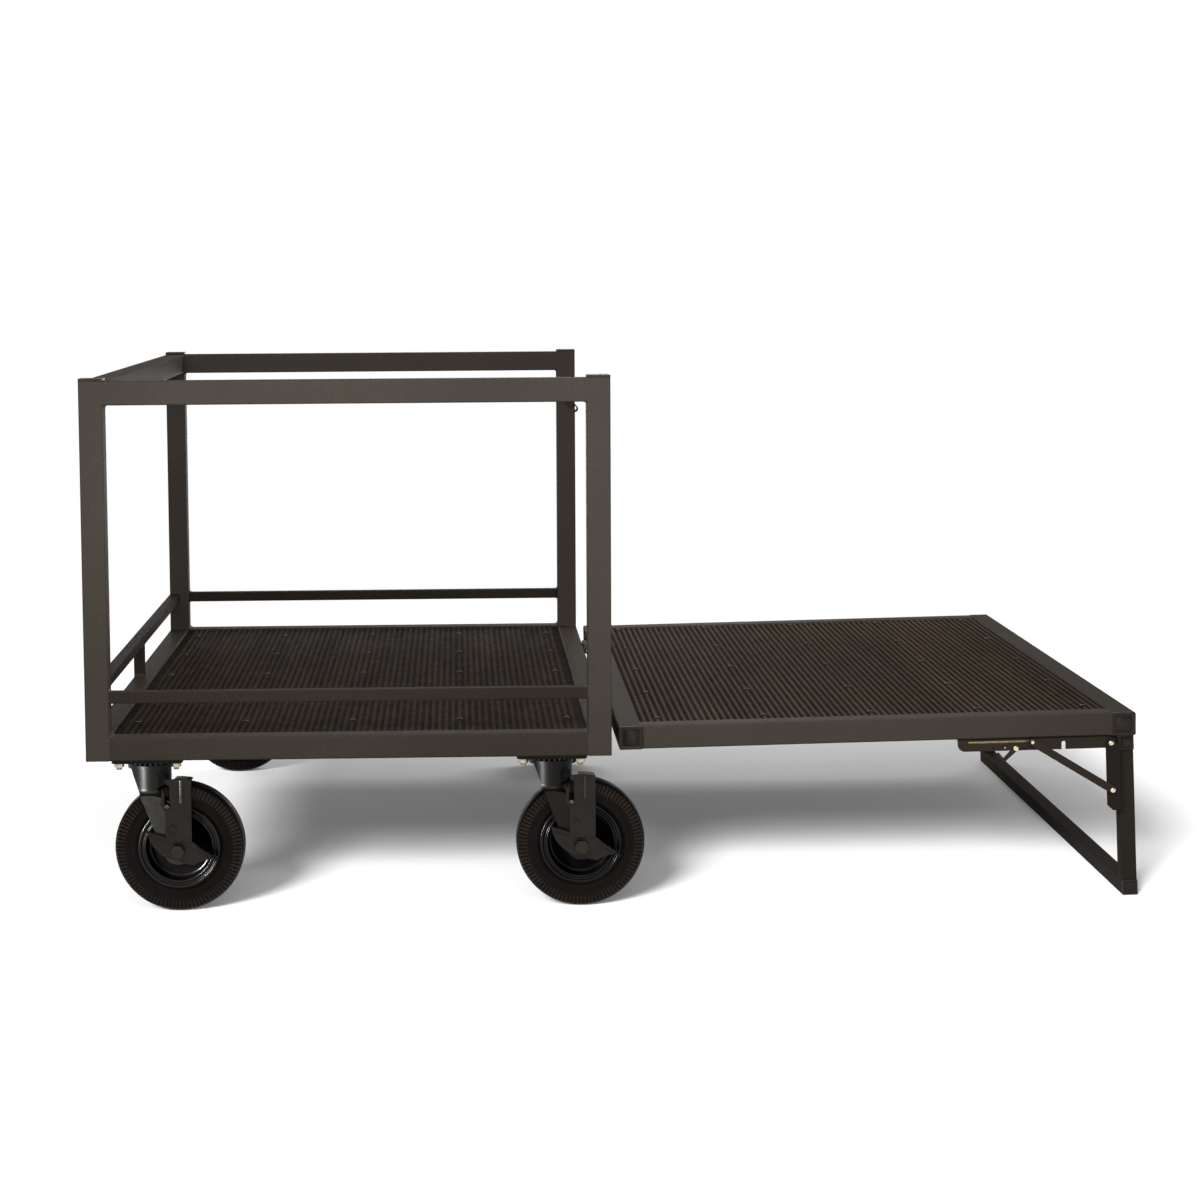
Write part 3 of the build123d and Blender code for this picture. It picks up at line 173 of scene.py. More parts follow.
# Outlines that are turned about an axis: corners as (radius, place along the axis, rounding).
# The rim and the tyre have the corners of one side, which are mirrored to the other.
RACE_CORNERS = [
    (KINGPIN_RADIUS, 0.0, 0), (RACE_RADIUS, 0.0, 0), (RACE_RADIUS, -0.0021, 0.0008),
    (0.0348, -0.0023, 0.0004), (0.0336, -BALL_DROP, 0.0008), (0.0348, -0.0055, 0.0004),
    (0.0366, -0.0056, 0.0005), (0.0366, -RACE_HEIGHT, 0.0005), (KINGPIN_RADIUS, -RACE_HEIGHT, 0),
]
RIM_CORNERS = [
    (0.00605, 0.033, 0.0006), (0.017, 0.033, 0.0018), (0.017, 0.0025, 0.004), (0.0545, 0.0025, 0.006),
    (0.0535, 0.0236, 0.0012), (0.0565, 0.0238, 0.0012), (0.0582, 0.0214, 0.001), (0.0606, 0.0214, 0.001),
    (0.0622, 0.024, 0.0016), (0.067, 0.024, 0.0018), (0.067, 0.021, 0), (0.058, 0.021, 0.001),
]
TYRE_CORNERS = [
    (0.0583, 0.0207, 0), (0.0673, 0.0207, 0), (0.0673, 0.0228, 0.001), (0.0722, 0.0268, 0.004),
    (0.0806, 0.0284, 0.002), (0.0812, 0.029, 0.0002), (0.0828, 0.029, 0.0002), (0.0834, 0.0282, 0.0004),
    (0.086, 0.0276, 0.0008), (0.0868, 0.0258, 0.0006), (0.1004, 0.0222, 0.0015), (0.1036, 0.0185, 0.003),
    (0.105, 0.011, 0.02),
]

# How finely round shapes are divided
EDGE_STEPS = 2
ARC_STEPS = 4
SMALL_ARC_STEPS = 3
SLEEVE_STEPS = 5
WELD_STEPS = 6
SCREW_STEPS = 20
STUD_STEPS = 24
RIVET_STEPS = 28
KINGPIN_STEPS = 32
RACE_STEPS = 64
WHEEL_STEPS = 96

X, Y, Z = Vector((1, 0, 0)), Vector((0, 1, 0)), Vector((0, 0, 1))
LEVEL = Matrix.Identity(4)
CORNERS = ("front_left", "front_right", "rear_left", "rear_right")
SIDES = {"front": -1, "rear": 1}
FASTENER_SEED = 7
MERGE_DISTANCE = 0.00001
FLAT_ANGLE = math.radians(0.5)
SHARP_ANGLE = math.radians(38)
RIM_SHARP_ANGLE = math.radians(50)
RIB_SHARP_ANGLE = math.radians(60)
BEAD_SHARP_ANGLE = math.radians(60)
ALL_SMOOTH = math.pi

# Places and directions, read from the frame
joints = {joint["name"]: joint for joint in frame["joints"]}


def pivot(joint):
    """The point that a joint turns about."""
    return Vector(joints[joint]["pos_m"])


def placing(origin, along, up):
    """A matrix whose X runs along the first direction and whose Z is the second."""
    turned = Matrix((along, up.cross(along), up)).transposed().to_4x4()
    return Matrix.Translation(origin) @ turned


platform_along = -Vector(joints["pin_slide_front"]["axis"])
platform_up = platform_along.cross(Y)
platform_place = placing(pivot("platform_fold"), platform_along, platform_up)
leg_rise = pivot("leg_fold") - pivot("link_turn_front")
leg_up = Vector((leg_rise.x, 0, leg_rise.z)).normalized()
leg_along = Y.cross(leg_up)
leg_place = placing(pivot("leg_fold"), leg_along, leg_up)


def box_in(node, place):
    """The lowest and highest corners of a CAD node along a placing's own axes."""
    inwards = place.inverted()
    points = [inwards @ vertex.co for vertex in frame["nodes"][node].data.vertices]
    low = Vector([min(point[n] for point in points) for n in range(3)])
    high = Vector([max(point[n] for point in points) for n in range(3)])
    return low, high


# Meshes


def merged(node):
    """A CAD node with its loose triangles joined and its flat faces made whole."""
    bm = bmesh.new()
    bm.from_mesh(frame["nodes"][node].data)
    bmesh.ops.remove_doubles(bm, verts=bm.verts, dist=MERGE_DISTANCE)
    bmesh.ops.dissolve_limit(bm, angle_limit=FLAT_ANGLE, verts=bm.verts, edges=bm.edges)
    return bm


def islands(node, place=LEVEL):
    """The lowest and highest corners, along a placing's axes, of each separate solid of a node."""
    bm = merged(node)
    bm.transform(place.inverted())
    unseen = set(bm.verts)
    found = []
    while unseen:
        front = [unseen.pop()]
        low, high = front[0].co.copy(), front[0].co.copy()
        while front:
            vertex = front.pop()
            low = Vector(map(min, low, vertex.co))
            high = Vector(map(max, high, vertex.co))
            near = {edge.other_vert(vertex) for edge in vertex.link_edges} & unseen
            unseen -= near
            front.extend(near)
        found.append((low, high))
    bm.free()
    return sorted(found, key=lambda corners: tuple(round(value, 4) for value in corners[0]))


def new_piece(name, bm, sharp=SHARP_ANGLE):
    """An object from a finished mesh, shaded smooth up to a sharp angle."""
    for edge in bm.edges:
        edge.smooth = True
    mesh = bpy.data.meshes.new(name)
    bm.to_mesh(mesh)
    bm.free()
    for spare in ("custom_normal", "UVMap"):
        if spare in mesh.attributes:
            mesh.attributes.remove(mesh.attributes[spare])
    mesh.shade_smooth()
    mesh.set_sharp_from_angle(angle=sharp)
    piece = bpy.data.objects.new(name, mesh)
    bpy.context.scene.collection.objects.link(piece)
    return piece


def made_plain(piece):
    """Turns what a piece's modifiers make of it into its own mesh, and removes them."""
    depsgraph = bpy.context.evaluated_depsgraph_get()
    shaped = piece.evaluated_get(depsgraph)
    mesh = bpy.data.meshes.new_from_object(shaped, preserve_all_data_layers=True, depsgraph=depsgraph)
    piece.modifiers.clear()
    piece.data = mesh
    return piece


def rounded_edges(piece, width):
    """Rounds a piece's sharp edges and keeps its flat faces flat to the light."""
    bevel = piece.modifiers.new("rounded edges", "BEVEL")
    bevel.width = width
    bevel.segments = EDGE_STEPS
    bevel.limit_method = "ANGLE"
    bevel.angle_limit = SHARP_ANGLE
    bevel.miter_outer = "MITER_ARC"
    bevel.harden_normals = True
    weighted = piece.modifiers.new("flat faces", "WEIGHTED_NORMAL")
    weighted.keep_sharp = True
    return made_plain(piece)


def rounded_copy(name, width, node):
    """A copy of a CAD node with rounded edges."""
    return rounded_edges(new_piece(name, merged(node)), width)


def carved(piece, cutter):
    """Cuts the shape of one piece out of another, and removes the cutter."""
    cut = piece.modifiers.new("cut", "BOOLEAN")
    cut.operation = "DIFFERENCE"
    cut.object = cutter
    made_plain(piece)
    bpy.data.objects.remove(cutter)
    return piece


def dress(piece, body, finish, slot, *nodes):
    """Gives a piece its finish and body, and the CAD nodes that it stands for; the slot is not used."""
    piece.data.materials.clear()
    piece.data.materials.append(finish)
    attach(piece, body)
    if nodes:
        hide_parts(*nodes)
    return piece


def finished_copy(node, ending, width, body, finish, slot):
    """A copy of a CAD node with rounded edges, dressed to stand for the node."""
    return dress(rounded_copy(f"{node}_{ending}", width, node), body, finish, slot, node)


def rounded(corners, steps=ARC_STEPS):
    """An outline whose corners, given as (x, y, radius), are turned into arcs."""
    points = []
    for n, (x, y, radius) in enumerate(corners):
        here = Vector((x, y))
        if not radius:
            points.append(here)
            continue
        before = (Vector(corners[n - 1][:2]) - here).normalized()
        after = (Vector(corners[(n + 1) % len(corners)][:2]) - here).normalized()
        half = before.angle(after) / 2
        middle = here + (before + after).normalized() * radius / math.sin(half)
        start = here + before * radius / math.tan(half) - middle
        end = here + after * radius / math.tan(half) - middle
        sweep = -start.angle_signed(end)
        first = math.atan2(start.y, start.x)
        for step in range(steps + 1):
            angle = first + sweep * step / steps
            points.append(middle + radius * Vector((math.cos(angle), math.sin(angle))))
    return points


def rounded_oblong(length, width, corner, steps=ARC_STEPS):
    """The outline of an oblong with rounded corners."""
    x, y = length / 2, width / 2
    return rounded([(x, y, corner), (-x, y, corner), (-x, -y, corner), (x, -y, corner)], steps)


def rounded_square(size, corner, steps=ARC_STEPS):
    """The outline of a square with rounded corners."""
    return rounded_oblong(size, size, corner, steps)


def mirrored(side):
    """A closed outline from the corners of its one side and their mirror image on the other."""
    ends = [(x, -y, 0) for x, y, radius in (side[-1], side[0])]
    half = [point for point in rounded(side + ends) if point.y >= 0]
    return half + [Vector((point.x, -point.y)) for point in reversed(half)]


def band(bm, ring, beyond):
    """Joins two rings, which have equally many vertices, by a band of faces."""
    return [bm.faces.new((ring[n - 1], ring[n], beyond[n], beyond[n - 1])) for n in range(len(ring))]


def block(bm, lower, upper):
    """A closed block between two outlines, which have equally many points."""
    near = [bm.verts.new(point) for point in lower]
    far = [bm.verts.new(point) for point in upper]
    faces = [bm.faces.new(near), bm.faces.new(far)] + band(bm, near, far)
    bmesh.ops.recalc_face_normals(bm, faces=faces)


def lathe(bm, outline, centre, axis, steps):
    """Turns a closed outline of (radius, along) points about an axis."""
    across = axis.orthogonal().normalized()
    aside = axis.cross(across)
    rings = []
    for step in range(steps):
        angle = 2 * math.pi * step / steps
        out = across * math.cos(angle) + aside * math.sin(angle)
        rings.append([bm.verts.new(centre + out * radius + axis * along) for radius, along in outline])
    faces = []
    for ring, beyond in zip(rings, rings[1:] + rings[:1]):
        faces += band(bm, ring, beyond)
    bmesh.ops.remove_doubles(bm, verts=[vertex for ring in rings for vertex in ring], dist=MERGE_DISTANCE)
    bmesh.ops.recalc_face_normals(bm, faces=[face for face in faces if face.is_valid])


def prism(bm, outline, place, rise):
    """Raises a flat outline of (x, y) points from a placing's plane to a closed block."""
    lower = [place @ Vector((x, y, 0)) for x, y in outline]
    upper = [place @ Vector((x, y, rise)) for x, y in outline]
    block(bm, lower, upper)


# Geometry Nodes


class NodeTree:
    """A Geometry Nodes tree under construction, with named inputs for its sizes."""

    def __init__(self, name):
        self.group = bpy.data.node_groups.new(name, "GeometryNodeTree")
        self.group.interface.new_socket("Geometry", in_out="INPUT", socket_type="NodeSocketGeometry")
        self.group.interface.new_socket("Geometry", in_out="OUTPUT", socket_type="NodeSocketGeometry")
        self.given = self.group.nodes.new("NodeGroupInput")
        self.result = self.group.nodes.new("NodeGroupOutput")

    def size(self, name, kind="Float"):
        self.group.interface.new_socket(name, in_out="INPUT", socket_type="NodeSocket" + kind)
        return self.given.outputs[name]

    def feed(self, socket, value):
        if isinstance(value, bpy.types.NodeSocket):
            self.group.links.new(value, socket)
        else:
            socket.default_value = value

    def add(self, kind, inputs, output=0, **settings):
        node = self.group.nodes.new(kind)
        for setting, value in settings.items():
            setattr(node, setting, value)
        for socket, value in inputs.items():
            self.feed(node.inputs[socket], value)
        return node.outputs[output]

    def maths(self, operation, first, second=0.0):
        return self.add("ShaderNodeMath", {0: first, 1: second}, operation=operation)

    def join(self, *parts):
        node = self.group.nodes.new("GeometryNodeJoinGeometry")
        for part in parts:
            self.group.links.new(part, node.inputs[0])
        return node.outputs[0]

    def end(self, geometry, finish):
        real = self.add("GeometryNodeRealizeInstances", {"Geometry": geometry})
        painted = self.add("GeometryNodeSetMaterial", {"Geometry": real, "Material": finish})
        self.feed(self.result.inputs[0], painted)


def grown(piece, tree, **values):
    """Runs a tree on a piece with its named inputs set, and keeps the result as a plain mesh."""
    modifier = piece.modifiers.new(tree.group.name, "NODES")
    modifier.node_group = tree.group
    for socket in tree.group.interface.items_tree:
        key = socket.name.lower().replace(" ", "_")
        if socket.in_out == "INPUT" and key in values:
            modifier[socket.identifier] = values[key]
    return made_plain(piece)


def ribbed_mat_tree():
    """A sheet whose top is a row of round-topped ribs running front to rear."""
    tree = NodeTree("ribbed_mat")
    length, depth = tree.size("Length"), tree.size("Depth")
    thick, height = tree.size("Sheet thickness"), tree.size("Rib height")
    pitch, reach = tree.size("Rib pitch"), tree.size("Ribbed reach")
    columns, finish = tree.size("Columns", "Int"), tree.size("Finish", "Material")
    sheet = tree.add(
        "GeometryNodeMeshGrid", {"Size X": length, "Size Y": depth, "Vertices X": columns, "Vertices Y": 2}
    )
    under = tree.add("GeometryNodeFlipFaces", {"Mesh": sheet})
    raised = tree.group.nodes.new("GeometryNodeExtrudeMesh")
    tree.feed(raised.inputs["Mesh"], sheet)
    tree.feed(raised.inputs["Offset Scale"], thick)
    raised.inputs["Individual"].default_value = False
    place = tree.add("GeometryNodeInputPosition", {})
    across = tree.add("ShaderNodeSeparateXYZ", {0: place})
    turn = tree.maths("MULTIPLY", tree.maths("DIVIDE", across, pitch), 2 * math.pi)
    wave = tree.maths("COSINE", turn)
    crest = tree.add(
        "ShaderNodeMapRange",
        {"Value": wave, "From Min": RIB_FOOT, "From Max": RIB_CREST},
        interpolation_type="SMOOTHSTEP",
    )
    inside = tree.maths("LESS_THAN", tree.maths("ABSOLUTE", across), reach)
    rib = tree.maths("MULTIPLY", crest, inside)
    lift = tree.add("ShaderNodeCombineXYZ", {"Z": tree.maths("MULTIPLY", rib, height)})
    ribbed = tree.add(
        "GeometryNodeSetPosition",
        {"Geometry": raised.outputs["Mesh"], "Selection": raised.outputs["Top"], "Offset": lift},
    )
    whole = tree.add("GeometryNodeMergeByDistance", {"Geometry": tree.join(ribbed, under)})
    # The rib height kept on the top drives the mat's painted highlight and painted shade
    on_top = tree.maths("GREATER_THAN", across.node.outputs["Z"], tree.maths("DIVIDE", thick, 2.0))
    shown = tree.maths("MULTIPLY", rib, on_top)
    marked = tree.add("GeometryNodeStoreNamedAttribute", {"Geometry": whole, "Name": "rib", "Value": shown})
    tree.end(marked, finish)
    return tree


def fasteners_tree():
    """Stands one fastener on every point of a mesh, its axis along the point's facing."""
    tree = NodeTree("fasteners_on_points")
    fastener = tree.size("Fastener", "Object")
    spin, seed = tree.size("Spin"), tree.size("Seed", "Int")
    finish = tree.size("Finish", "Material")
    shape = tree.add("GeometryNodeObjectInfo", {"Object": fastener}, output="Geometry")
    facing = tree.add("GeometryNodeInputNamedAttribute", {"Name": "facing"}, data_type="FLOAT_VECTOR")
    standing = tree.add("FunctionNodeAlignRotationToVector", {"Vector": facing}, axis="Z")
    # For a plain number, the random value has its most at socket 3, its seed at 8 and its result at 1
    angle = tree.add("FunctionNodeRandomValue", {3: spin, 8: seed}, output=1, data_type="FLOAT")
    twist = tree.add("FunctionNodeAxisAngleToRotation", {"Angle": angle})
    turned = tree.add(
        "FunctionNodeRotateRotation", {"Rotation": standing, "Rotate By": twist}, rotation_space="LOCAL"
    )
    copies = tree.add(
        "GeometryNodeInstanceOnPoints",
        {"Points": tree.given.outputs["Geometry"], "Instance": shape, "Rotation": turned},
    )
    tree.end(copies, finish)
    return tree


def tyre_lugs_tree():
    """Adds a ring of shoulder lugs to a tyre that lies about the Y axis at the origin."""
    tree = NodeTree("tyre_lugs")
    count, lug = tree.size("Count", "Int"), tree.size("Lug", "Object")
    finish = tree.size("Finish", "Material")
    shape = tree.add("GeometryNodeObjectInfo", {"Object": lug}, output="Geometry")
    places = tree.add("GeometryNodeMeshLine", {"Count": count, "Offset": (0, 0, 0)})
    number = tree.add("GeometryNodeInputIndex", {})
    turn = tree.maths("MULTIPLY", tree.maths("DIVIDE", number, count), 2 * math.pi)
    around = tree.add("ShaderNodeCombineXYZ", {"Y": turn})
    copies = tree.add(
        "GeometryNodeInstanceOnPoints", {"Points": places, "Instance": shape, "Rotation": around}
    )
    ring = tree.add("GeometryNodeRealizeInstances", {"Geometry": copies})
    # The lug mark carries the tyre's painted highlight on its lugs
    marked = tree.add("GeometryNodeStoreNamedAttribute", {"Geometry": ring, "Name": "lug", "Value": 1.0})
    tree.end(tree.join(tree.given.outputs["Geometry"], marked), finish)
    return tree


# Finishes

# Most values of a noise texture lie between these two
NOISE_LOW = 0.3
NOISE_HIGH = 0.7


def mapped(nodes, links, value, given, wanted, ease="LINEAR"):
    """A shader value carried over from one range to another."""
    node = nodes.new("ShaderNodeMapRange")
    node.interpolation_type = ease
    for socket, number in zip(("From Min", "From Max", "To Min", "To Max"), (*given, *wanted)):
        node.inputs[socket].default_value = number
    links.new(value, node.inputs["Value"])
    return node.outputs["Result"]


class Finish:
    """A material under construction: one shader, and short ways to add texture to it."""

    def __init__(self, name, **constants):
        self.material = bpy.data.materials.new(name)
        self.material.use_nodes = True
        self.nodes = self.material.node_tree.nodes
        self.links = self.material.node_tree.links
        self.shader = self.nodes["Principled BSDF"]
        for socket, value in constants.items():
            self.shader.inputs[socket.replace("_", " ")].default_value = value
        self.place = self.nodes.new("ShaderNodeTexCoord").outputs["Object"]

    def noise(self, scale, detail, stretch=None):
        place = self.place
        if stretch:
            mapping = self.nodes.new("ShaderNodeMapping")
            mapping.inputs["Scale"].default_value = stretch
            self.links.new(place, mapping.inputs["Vector"])
            place = mapping.outputs["Vector"]
        noise = self.nodes.new("ShaderNodeTexNoise")
        noise.inputs["Scale"].default_value = scale
        noise.inputs["Detail"].default_value = detail
        self.links.new(place, noise.inputs["Vector"])
        return noise.outputs["Fac"]

    def cells(self, scale):
        cells = self.nodes.new("ShaderNodeTexVoronoi")
        cells.inputs["Scale"].default_value = scale
        self.links.new(self.place, cells.inputs["Vector"])
        return cells.outputs["Distance"]

    def attribute(self, name):
        attribute = self.nodes.new("ShaderNodeAttribute")
        attribute.attribute_name = name
        return attribute.outputs["Fac"]

    def ramp(self, value, *stops):
        node = self.nodes.new("ShaderNodeValToRGB")
        marks = node.color_ramp.elements
        while len(marks) < len(stops):
            marks.new(0.5)
        for mark, (position, colour) in zip(marks, stops):
            mark.position = position
            mark.color = (*colour, 1.0)
        self.links.new(value, node.inputs["Fac"])
        return node.outputs["Color"]

    def mottled(self, dark, light, scale, detail):
        return self.ramp(self.noise(scale, detail), (NOISE_LOW, dark), (NOISE_HIGH, light))

    def blend(self, share, first, second, way="MIX"):
        node = self.nodes.new("ShaderNodeMix")
        node.data_type = "RGBA"
        node.blend_type = way
        # A mix of colours has its share at socket 0, the colours at 6 and 7, and the result at 2
        for socket, value in ((node.inputs[0], share), (node.inputs[6], first), (node.inputs[7], second)):
            if isinstance(value, bpy.types.NodeSocket):
                self.links.new(value, socket)
            else:
                socket.default_value = value
        return node.outputs[2]

    def colour(self, value):
        self.links.new(value, self.shader.inputs["Base Color"])

    def roughness(self, limits, scale, detail):
        noise = self.noise(scale, detail)
        rough = mapped(self.nodes, self.links, noise, (NOISE_LOW, NOISE_HIGH), limits)
        self.links.new(rough, self.shader.inputs["Roughness"])

    def bump(self, height, depth, strength):
        node = self.nodes.new("ShaderNodeBump")
        node.inputs["Distance"].default_value = depth
        node.inputs["Strength"].default_value = strength
        self.links.new(height, node.inputs["Height"])
        self.links.new(node.outputs["Normal"], self.shader.inputs["Normal"])


def shade(red, green, blue):
    """A colour given as it shows on a screen, from 0 to 255, as the linear values of a shader."""
    def linear(value):
        value /= 255
        return value / 12.92 if value <= 0.04045 else ((value + 0.055) / 1.055) ** 2.4

    return linear(red), linear(green), linear(blue)


def powder_coat(name, dark, light, rough):
    """A satin baked paint: fine speckle, slow drift of tone and an orange-peel skin."""
    finish = Finish(name, Specular_IOR_Level=0.006)
    fine = finish.noise(scale=1500, detail=2)
    speckle = finish.ramp(fine, (0.35, shade(*dark)), (0.68, shade(*light)))
    drift = finish.mottled((0.86, 0.86, 0.86), (1.1, 1.1, 1.1), scale=2.6, detail=2)
    finish.colour(finish.blend(1.0, speckle, drift, "MULTIPLY"))
    finish.roughness(rough, scale=240, detail=3)
    finish.bump(finish.noise(scale=620, detail=2), depth=0.00012, strength=0.5)
    return finish.material


def moulded_plastic():
    """The black plastic of the tube plugs, with a fine moulded grain."""
    finish = Finish("plug_plastic_grained", Specular_IOR_Level=0.16)
    finish.colour(finish.mottled(shade(50, 44, 39), shade(64, 57, 51), scale=420, detail=3))
    finish.roughness((0.34, 0.5), scale=800, detail=2)
    finish.bump(finish.cells(scale=1300), depth=0.00008, strength=0.5)
    return finish.material


def mat_rubber(name, valley, flank, crest):
    """A ribbed mat: a painted highlight on the crests of its ribs and painted shade between them."""
    finish = Finish(name, Specular_IOR_Level=0.003)
    height = finish.attribute("rib")
    # The rib's height sets the colour: painted highlight on the crests, painted shade in the valleys
    rib = finish.ramp(height, (0.0, shade(*valley)), (0.45, shade(*flank)), (1.0, shade(*crest)))
    streaks = finish.noise(scale=14, detail=5, stretch=(1, 0.12, 1))
    scuffs = finish.ramp(streaks, (0.3, (0.72, 0.72, 0.72)), (0.75, (1.12, 1.12, 1.12)))
    finish.colour(finish.blend(1.0, rib, scuffs, "MULTIPLY"))
    finish.roughness((0.5, 0.72), scale=60, detail=4)
    finish.bump(finish.noise(scale=900, detail=3), depth=0.0001, strength=0.5)
    return finish.material


def gloss_enamel(name, dark, light, shine, rough):
    """Glossy black paint, a little uneven as dipped paint is."""
    finish = Finish(name, Specular_IOR_Level=shine)
    finish.colour(finish.mottled(shade(*dark), shade(*light), scale=36, detail=3))
    finish.roughness(rough, scale=90, detail=3)
    finish.bump(finish.noise(scale=260, detail=2), depth=0.00012, strength=0.35)
    return finish.material


def tyre_rubber():
    """Matt tyre rubber with fine grain and a browner bloom in patches, painted lighter on its lugs as a
    painted highlight.
    """
    finish = Finish("tyre_rubber_matt", Specular_IOR_Level=0.09)
    grain = finish.mottled(shade(11, 8, 7), shade(20, 16, 14), scale=700, detail=3)
    # The lugs are painted lighter: a painted highlight
    lug_highlight = finish.mottled(shade(42, 36, 31), shade(62, 54, 47), scale=300, detail=3)
    patches = finish.noise(scale=26, detail=4)
    bloom = finish.ramp(patches, (0.35, (0.85, 0.85, 0.85)), (0.75, (1.3, 1.18, 1.08)))
    lit_lugs = finish.blend(finish.attribute("lug"), grain, lug_highlight)
    finish.colour(finish.blend(1.0, lit_lugs, bloom, "MULTIPLY"))
    finish.roughness((0.4, 0.55), scale=120, detail=3)
    finish.bump(finish.noise(scale=1100, detail=3), depth=0.00015, strength=0.5)
    return finish.material


def plated(name, dark, light, rough, grain):
    """Plated metal with a patchy tone and a fine tooled grain."""
    finish = Finish(name, Metallic=1.0)
    finish.colour(finish.mottled(shade(*dark), shade(*light), scale=grain, detail=3))
    finish.roughness(rough, scale=grain * 3, detail=3)
    finish.bump(finish.noise(scale=grain * 4, detail=2), depth=0.00005, strength=0.4)
    return finish.material


SATIN = (0.44, 0.6)
SMOOTH_SATIN = (0.4, 0.56)

frame_paint = powder_coat("frame_paint_satin", (82, 75, 69), (100, 92, 85), SATIN)
# The base, guard and leg paints are the frame paint painted darker, and the arm paint is the hardware paint
# painted darker: painted shade low on the cart and leg
shaded_base_paint = powder_coat("base_paint_satin", (70, 63, 57), (88, 80, 73), SATIN)
shaded_guard_paint = powder_coat("guard_paint_satin", (58, 52, 47), (74, 67, 61), SATIN)
shaded_leg_paint = powder_coat("leg_paint_satin", (58, 52, 45), (74, 67, 58), SATIN)
hardware_paint = powder_coat("hardware_paint_satin", (64, 58, 51), (80, 72, 64), SMOOTH_SATIN)
shaded_arm_paint = powder_coat("arm_paint_satin", (50, 45, 40), (66, 59, 53), SMOOTH_SATIN)
plug_plastic = moulded_plastic()
# The cart's mat is painted darker as painted shade under the cage, and the platform's mat lighter as
# painted light on it
shaded_cart_rubber = mat_rubber("cart_mat_rubber", (40, 32, 25), (47, 38, 30), (66, 54, 44))
lit_platform_rubber = mat_rubber("platform_mat_rubber", (40, 32, 25), (60, 50, 40), (99, 85, 70))
brake_paint = gloss_enamel("brake_satin_black", (30, 25, 21), (42, 35, 30), shine=0.2, rough=(0.34, 0.46))
caster_enamel = gloss_enamel("caster_gloss_black", (4, 3, 2), (7, 6, 5), shine=0.13, rough=(0.31, 0.37))
bead_enamel = gloss_enamel("bead_gloss_black", (15, 12, 10), (23, 19, 16), shine=0.2, rough=(0.2, 0.3))
rim_enamel = gloss_enamel("rim_gloss_black", (4, 3, 3), (8, 7, 6), shine=0.13, rough=(0.14, 0.22))
# The dish paint is darker and duller than the rim's: painted shade in the recess
shaded_dish_enamel = gloss_enamel("rim_dish_dusty_black", (2, 1, 1), (4, 3, 3), shine=0.015, rough=(0.3, 0.5))
wheel_rubber = tyre_rubber()
yellow_zinc = plated("yellow_zinc", (156, 149, 130), (206, 198, 178), rough=(0.28, 0.46), grain=300)
rivet_brass = plated("rivet_pale_brass", (196, 182, 150), (238, 228, 204), rough=(0.24, 0.4), grain=420)
lock_brass = plated("lock_bar_brass", (150, 132, 92), (190, 172, 128), rough=(0.3, 0.48), grain=200)
stud_bronze = plated("stud_red_bronze", (120, 74, 52), (158, 104, 76), rough=(0.32, 0.5), grain=300)
oxide_steel = plated("black_oxide_steel", (38, 34, 31), (62, 56, 51), rough=(0.3, 0.46), grain=500)
greased_steel = plated("ball_steel_greased", (52, 50, 48), (92, 89, 86), rough=(0.16, 0.28), grain=300)

mat_tree = ribbed_mat_tree()
fastener_tree = fasteners_tree()
lug_tree = tyre_lugs_tree()


# Tubes, their welds and their plugs

# The darker base, guard and leg paints in this table are painted shade
PAINTED_FRAME = (
    ("cart", frame_paint, ("corner_posts", "top_rails")),
    ("cart", shaded_base_paint, ("base_rails", "cart_bearers", "caster_pads")),
    ("cart", shaded_guard_paint, ("guard_rails",)),
    ("platform", frame_paint, ("platform_cross_rails",)),
    ("platform", shaded_base_paint, ("platform_side_rails", "platform_bearers")),
    ("leg", shaded_leg_paint, ("leg_cross_tubes", "leg_uprights")),
)
for body, paint, nodes in PAINTED_FRAME:
    for node in nodes:
        finished_copy(node, "painted", TUBE_EDGE, body, paint, "frame_paint")


def weld_fillet(bm, corner, first, second, span, radius):
    """Fills an inside corner along a span with a hollow painted weld."""
    hollow = corner + (first + second) * radius
    section = [corner]
    for step in range(WELD_STEPS + 1):
        angle = math.pi / 2 * step / WELD_STEPS
        section.append(hollow - (second * math.cos(angle) + first * math.sin(angle)) * radius)
    block(bm, section, [point + span for point in section])


def weld_sleeve(bm, end, reach, side, up, tube):
    """Carries a tube's outside on past its end, over the rounded edge of the tube it meets."""
    outline = rounded_square(tube.size, tube.corner, SLEEVE_STEPS)
    near = [bm.verts.new(end + side * x + up * y) for x, y in outline]
    far = [bm.verts.new(end + reach + side * x + up * y) for x, y in outline]
    faces = band(bm, near, far)
    for face in faces:
        face.normal_update()
    outwards = faces[0].normal.dot(faces[0].calc_center_median() - end - reach / 2)
    if outwards < 0:
        bmesh.ops.reverse_faces(bm, faces=faces)


def rail_ends(bm, middle, along, up, side, half, tube, bite, fillets):
    """Welds both ends of a rail to what it meets: flush sleeves, and fillets on the named edges."""
    inset = tube.size / 2 - WELD_SETBACK
    for sign in (-1, 1):
        end = middle + along * half * sign
        weld_sleeve(bm, end, along * bite * sign, side, up, tube)
        for edge in fillets:
            inside = end + up * edge * tube.size / 2 - side * inset
            weld_fillet(bm, inside, -along * sign, up * edge, side * 2 * inset, tube.weld)


